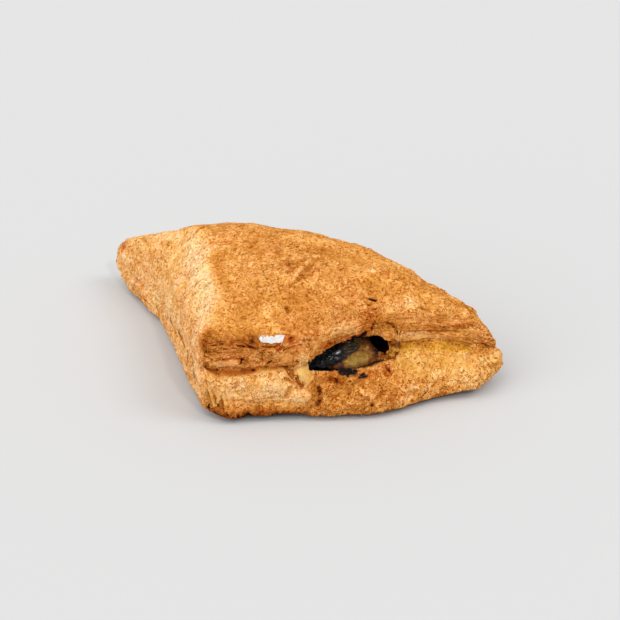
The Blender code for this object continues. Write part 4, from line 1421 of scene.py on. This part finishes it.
def crustMaterial():
    made, tree, shader = newMaterial("bakedCrust")
    coarse, fine, broad = (grain(tree, size) for size in bakedCrust["grainSizes"])
    gaps, bands = streaks(tree)
    sheet, bake, oil = (attribute(tree, name) for name in ("sheet", "bake", "oil"))
    grainy = math2(tree, "SUBTRACT", 1.0, times(tree, attribute(tree, "calm"), 0.75))
    for change, share in (
        (about(tree, coarse["Mottle"], 0.22), grainy),
        (about(tree, fine["Mottle"], 0.06), grainy),
        (grain(tree, bakedCrust["pitSize"])["Pits"], times(tree, attribute(tree, "holes"), 0.55)),
        (times(tree, gaps, 0.38), sheet),
        (about(tree, bands, -0.6), sheet),
    ):
        bake = added(tree, bake, times(tree, change, share))
    # light strands stand up from the dough with darker gaps between: painted highlight and painted shade of the
    # fine grain, over its own speckle
    paintedStrandShading = added(tree, about(tree, fine["Strands"], 1.15), about(tree, coarse["Strands"], 0.8))
    paintedStrandShading = added(tree, paintedStrandShading, about(tree, fine["Mottle"], 0.4))
    paintedStrandShading = added(tree, times(tree, paintedStrandShading, grainy), 0.5)
    paintedStrandShading = added(tree, paintedStrandShading, times(tree, attribute(tree, "holes"), 0.16))
    colour = ramp(tree, bake, bakedCrust["stops"])
    for amount, tint in (
        (1.0, ramp(tree, broad["Mottle"], bakedCrust["tints"])),
        (sheet, bakedCrust["sheets"]),
        (1.0, ramp(tree, paintedStrandShading, bakedCrust["paintedStrandShading"])),
        (oil, bakedCrust["oil"]),
        (attribute(tree, "stain"), bakedCrust["stain"]),
    ):
        colour = mixed(tree, amount, colour, tint, "MULTIPLY")
    # char, which also lays painted shade on the burst's left tip, and painted shade inside the pocket
    for name in ("char", "pocketShade"):
        colour = mixed(tree, attribute(tree, name), colour, bakedCrust[name])
    tree.links.new(colour, shader.inputs["Base Color"])
    gloss = math2(tree, "SUBTRACT", bakedCrust["roughness"], times(tree, oil, 0.2))
    tree.links.new(added(tree, gloss, about(tree, fine["Mottle"], 0.3), clamp=True), shader.inputs["Roughness"])
    shader.inputs["Specular IOR Level"].default_value = 0.0
    tree.links.new(times(tree, oil, bakedCrust["oilCoat"]), shader.inputs["Coat Weight"])
    shader.inputs["Coat Roughness"].default_value = 0.3
    height = added(tree, times(tree, coarse["Height"], 0.55), times(tree, fine["Height"], 0.45))
    height = math2(tree, "SUBTRACT", height, times(tree, times(tree, gaps, sheet), 0.5))
    bump(tree, shader, height, 0.5, 0.0010)
    return made


wetFlesh = {
    "tones": (
        (0.05, srgb(186, 148, 66)),
        (0.30, srgb(163, 117, 41)),
        (0.52, srgb(146, 84, 28)),
        (0.75, srgb(92, 46, 20)),
        (1.00, srgb(40, 20, 14)),
    ),
    # painted shade deep inside the pocket
    "deepShade": srgb(16, 9, 9),
    "grainSizes": (1.2, 3),
    "roughness": 0.12,
    "specular": 0.4,
}


def fleshMaterial():
    made, tree, shader = newMaterial("aubergineFleshWet")
    fine, coarse = (grain(tree, size) for size in wetFlesh["grainSizes"])
    tone = added(tree, attribute(tree, "tone"), about(tree, fine["Mottle"], 0.3))
    tone = added(tree, tone, about(tree, coarse["Mottle"], 0.25))
    # the flesh fades to painted shade deeper inside the pocket
    colour = mixed(tree, attribute(tree, "depth"), ramp(tree, tone, wetFlesh["tones"]), wetFlesh["deepShade"])
    tree.links.new(colour, shader.inputs["Base Color"])
    shader.inputs["Roughness"].default_value = wetFlesh["roughness"]
    shader.inputs["Specular IOR Level"].default_value = wetFlesh["specular"]
    bump(tree, shader, fine["Height"], 1.0, 0.0010)
    return made


glossySkin = {
    "black": srgb(9, 7, 9),
    "worn": ((0.2, srgb(26, 19, 14)), (0.6, srgb(66, 52, 36)), (1.0, srgb(120, 100, 72))),
    # pale grey of the painted highlight and painted reflections
    "glint": srgb(222, 222, 228),
    "grainSize": 1.8,
    "specular": 0.17,
}


def skinMaterial():
    made, tree, shader = newMaterial("aubergineSkinGloss")
    worn = ramp(tree, attribute(tree, "streak"), glossySkin["worn"])
    colour = mixed(tree, attribute(tree, "worn"), glossySkin["black"], worn)
    colour = mixed(tree, attribute(tree, "glint"), colour, glossySkin["glint"])
    tree.links.new(colour, shader.inputs["Base Color"])
    fine = grain(tree, glossySkin["grainSize"])
    tree.links.new(added(tree, 0.1, times(tree, fine["Mottle"], 0.25)), shader.inputs["Roughness"])
    shader.inputs["Specular IOR Level"].default_value = glossySkin["specular"]
    bump(tree, shader, fine["Height"], 0.7, 0.0008)
    return made


charredDough = {
    "tones": ((0.35, srgb(6, 4, 5)), (0.65, srgb(26, 14, 14)), (0.9, srgb(92, 48, 30))),
    "grainSize": 1.0,
    "roughness": 0.3,
    "specular": 0.2,
    "bump": (0.9, 0.0008),
}
oilyDough = {
    "tones": (
        (0.00, srgb(240, 204, 112)),
        (0.35, srgb(210, 154, 56)),
        (0.70, srgb(146, 84, 20)),
        (1.00, srgb(92, 44, 12)),
    ),
    "mottle": 0.5,  # how far the grain changes the painted tone
    "grainSize": 1.6,
    "roughness": 0.25,
    "specular": 0.12,
    "bump": (0.5, 0.0005),
}
whiteScrap = {
    "tones": ((0.2, srgb(252, 244, 240)), (0.7, srgb(255, 255, 255))),
    "grainSize": 1.4,
    "roughness": 0.6,
    "specular": 0.5,
    "bump": (0.2, 0.0003),
}


def bitsMaterial(name, look):
    # one mottled tone for the small pieces
    made, tree, shader = newMaterial(name)
    fine = grain(tree, look["grainSize"])
    tone = fine["Mottle"]
    if "mottle" in look:
        tone = added(tree, attribute(tree, "tone"), about(tree, tone, look["mottle"]))
    tree.links.new(ramp(tree, tone, look["tones"]), shader.inputs["Base Color"])
    shader.inputs["Roughness"].default_value = look["roughness"]
    shader.inputs["Specular IOR Level"].default_value = look["specular"]
    bump(tree, shader, fine["Height"], *look["bump"])
    return made


crustFinish = crustMaterial()
for made, node, finish in (
    (crust, "pastry", crustFinish),
    (flesh, "filling", fleshMaterial()),
    (skin, "aubergine_skin", skinMaterial()),
    (leaves, None, crustFinish),
    (slivers, None, crustFinish),
    (crumbs, None, bitsMaterial("oilyDough", oilyDough)),
    (char, None, bitsMaterial("charredDough", charredDough)),
    (fleck, None, bitsMaterial("whiteScrap", whiteScrap)),
):
    made.data.transform(fromPlan)
    made.data.materials.clear()
    made.data.materials.append(finish)
    made.data.shade_smooth()
    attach(made, "root")
    if node:
        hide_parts(node)
print("pieces on the packed model")


stage = {
    "floorSize": 6,
    "floorColour": (0.558, 0.558, 0.558, 1),
    "sky": 0.725,
    "lamps": (  # strength, direction round from the burst side towards the right, height, spread in degrees
        ("key", 0.83, 62, 52, 30),
        ("fill", 1.74, -65, 42, 70),
        ("spark", 0.52, 10, 42, 4),
    ),
}
view = {
    "lens": 110,
    "distance": 0.7486,
    "azimuth": -14,
    "elevation": 28,
    "aim": (57.3, 67.5, 0),  # in the plan's mm
}

ground = bmesh.new()
bmesh.ops.create_grid(ground, x_segments=1, y_segments=1, size=stage["floorSize"])
floor = newObject("table", ground)
floor.location = (0, 0, -0.0002)
floorFinish, _, floorShader = newMaterial("paleTable")
floorShader.inputs["Base Color"].default_value = stage["floorColour"]
floorShader.inputs["Roughness"].default_value = 0.9
floorShader.inputs["Specular IOR Level"].default_value = 0.0
floor.data.materials.append(floorFinish)

sky = bpy.data.worlds.new("studio")
sky.use_nodes = True
sky.node_tree.nodes["Background"].inputs["Color"].default_value = (1, 1, 1, 1)
sky.node_tree.nodes["Background"].inputs["Strength"].default_value = stage["sky"]
bpy.context.scene.world = sky


def aimed(azimuth, elevation):
    around, above = math.radians(azimuth), math.radians(elevation)
    return Vector((math.sin(around) * math.cos(above), -math.cos(around) * math.cos(above), math.sin(above)))


for name, strength, around, above, spread in stage["lamps"]:
    lamp = bpy.data.lights.new(name, "SUN")
    lamp.energy = strength
    lamp.angle = math.radians(spread)
    hung = bpy.data.objects.new(name, lamp)
    bpy.context.scene.collection.objects.link(hung)
    hung.rotation_mode = "QUATERNION"
    hung.rotation_quaternion = (-aimed(around, above)).to_track_quat("-Z", "Y")

lens = bpy.data.cameras.new("camera")
lens.lens = view["lens"]
lens.sensor_width = 36
lens.clip_start = 0.01
lens.clip_end = 20
camera = bpy.data.objects.new("camera", lens)
bpy.context.scene.collection.objects.link(camera)
back = aimed(view["azimuth"], view["elevation"])
camera.location = fromPlan @ Vector(view["aim"]) + back * view["distance"]
camera.rotation_mode = "QUATERNION"
camera.rotation_quaternion = (-back).to_track_quat("-Z", "Y")
bpy.context.scene.camera = camera
bpy.context.scene.view_settings.view_transform = "Standard"
print("table, light and camera set")
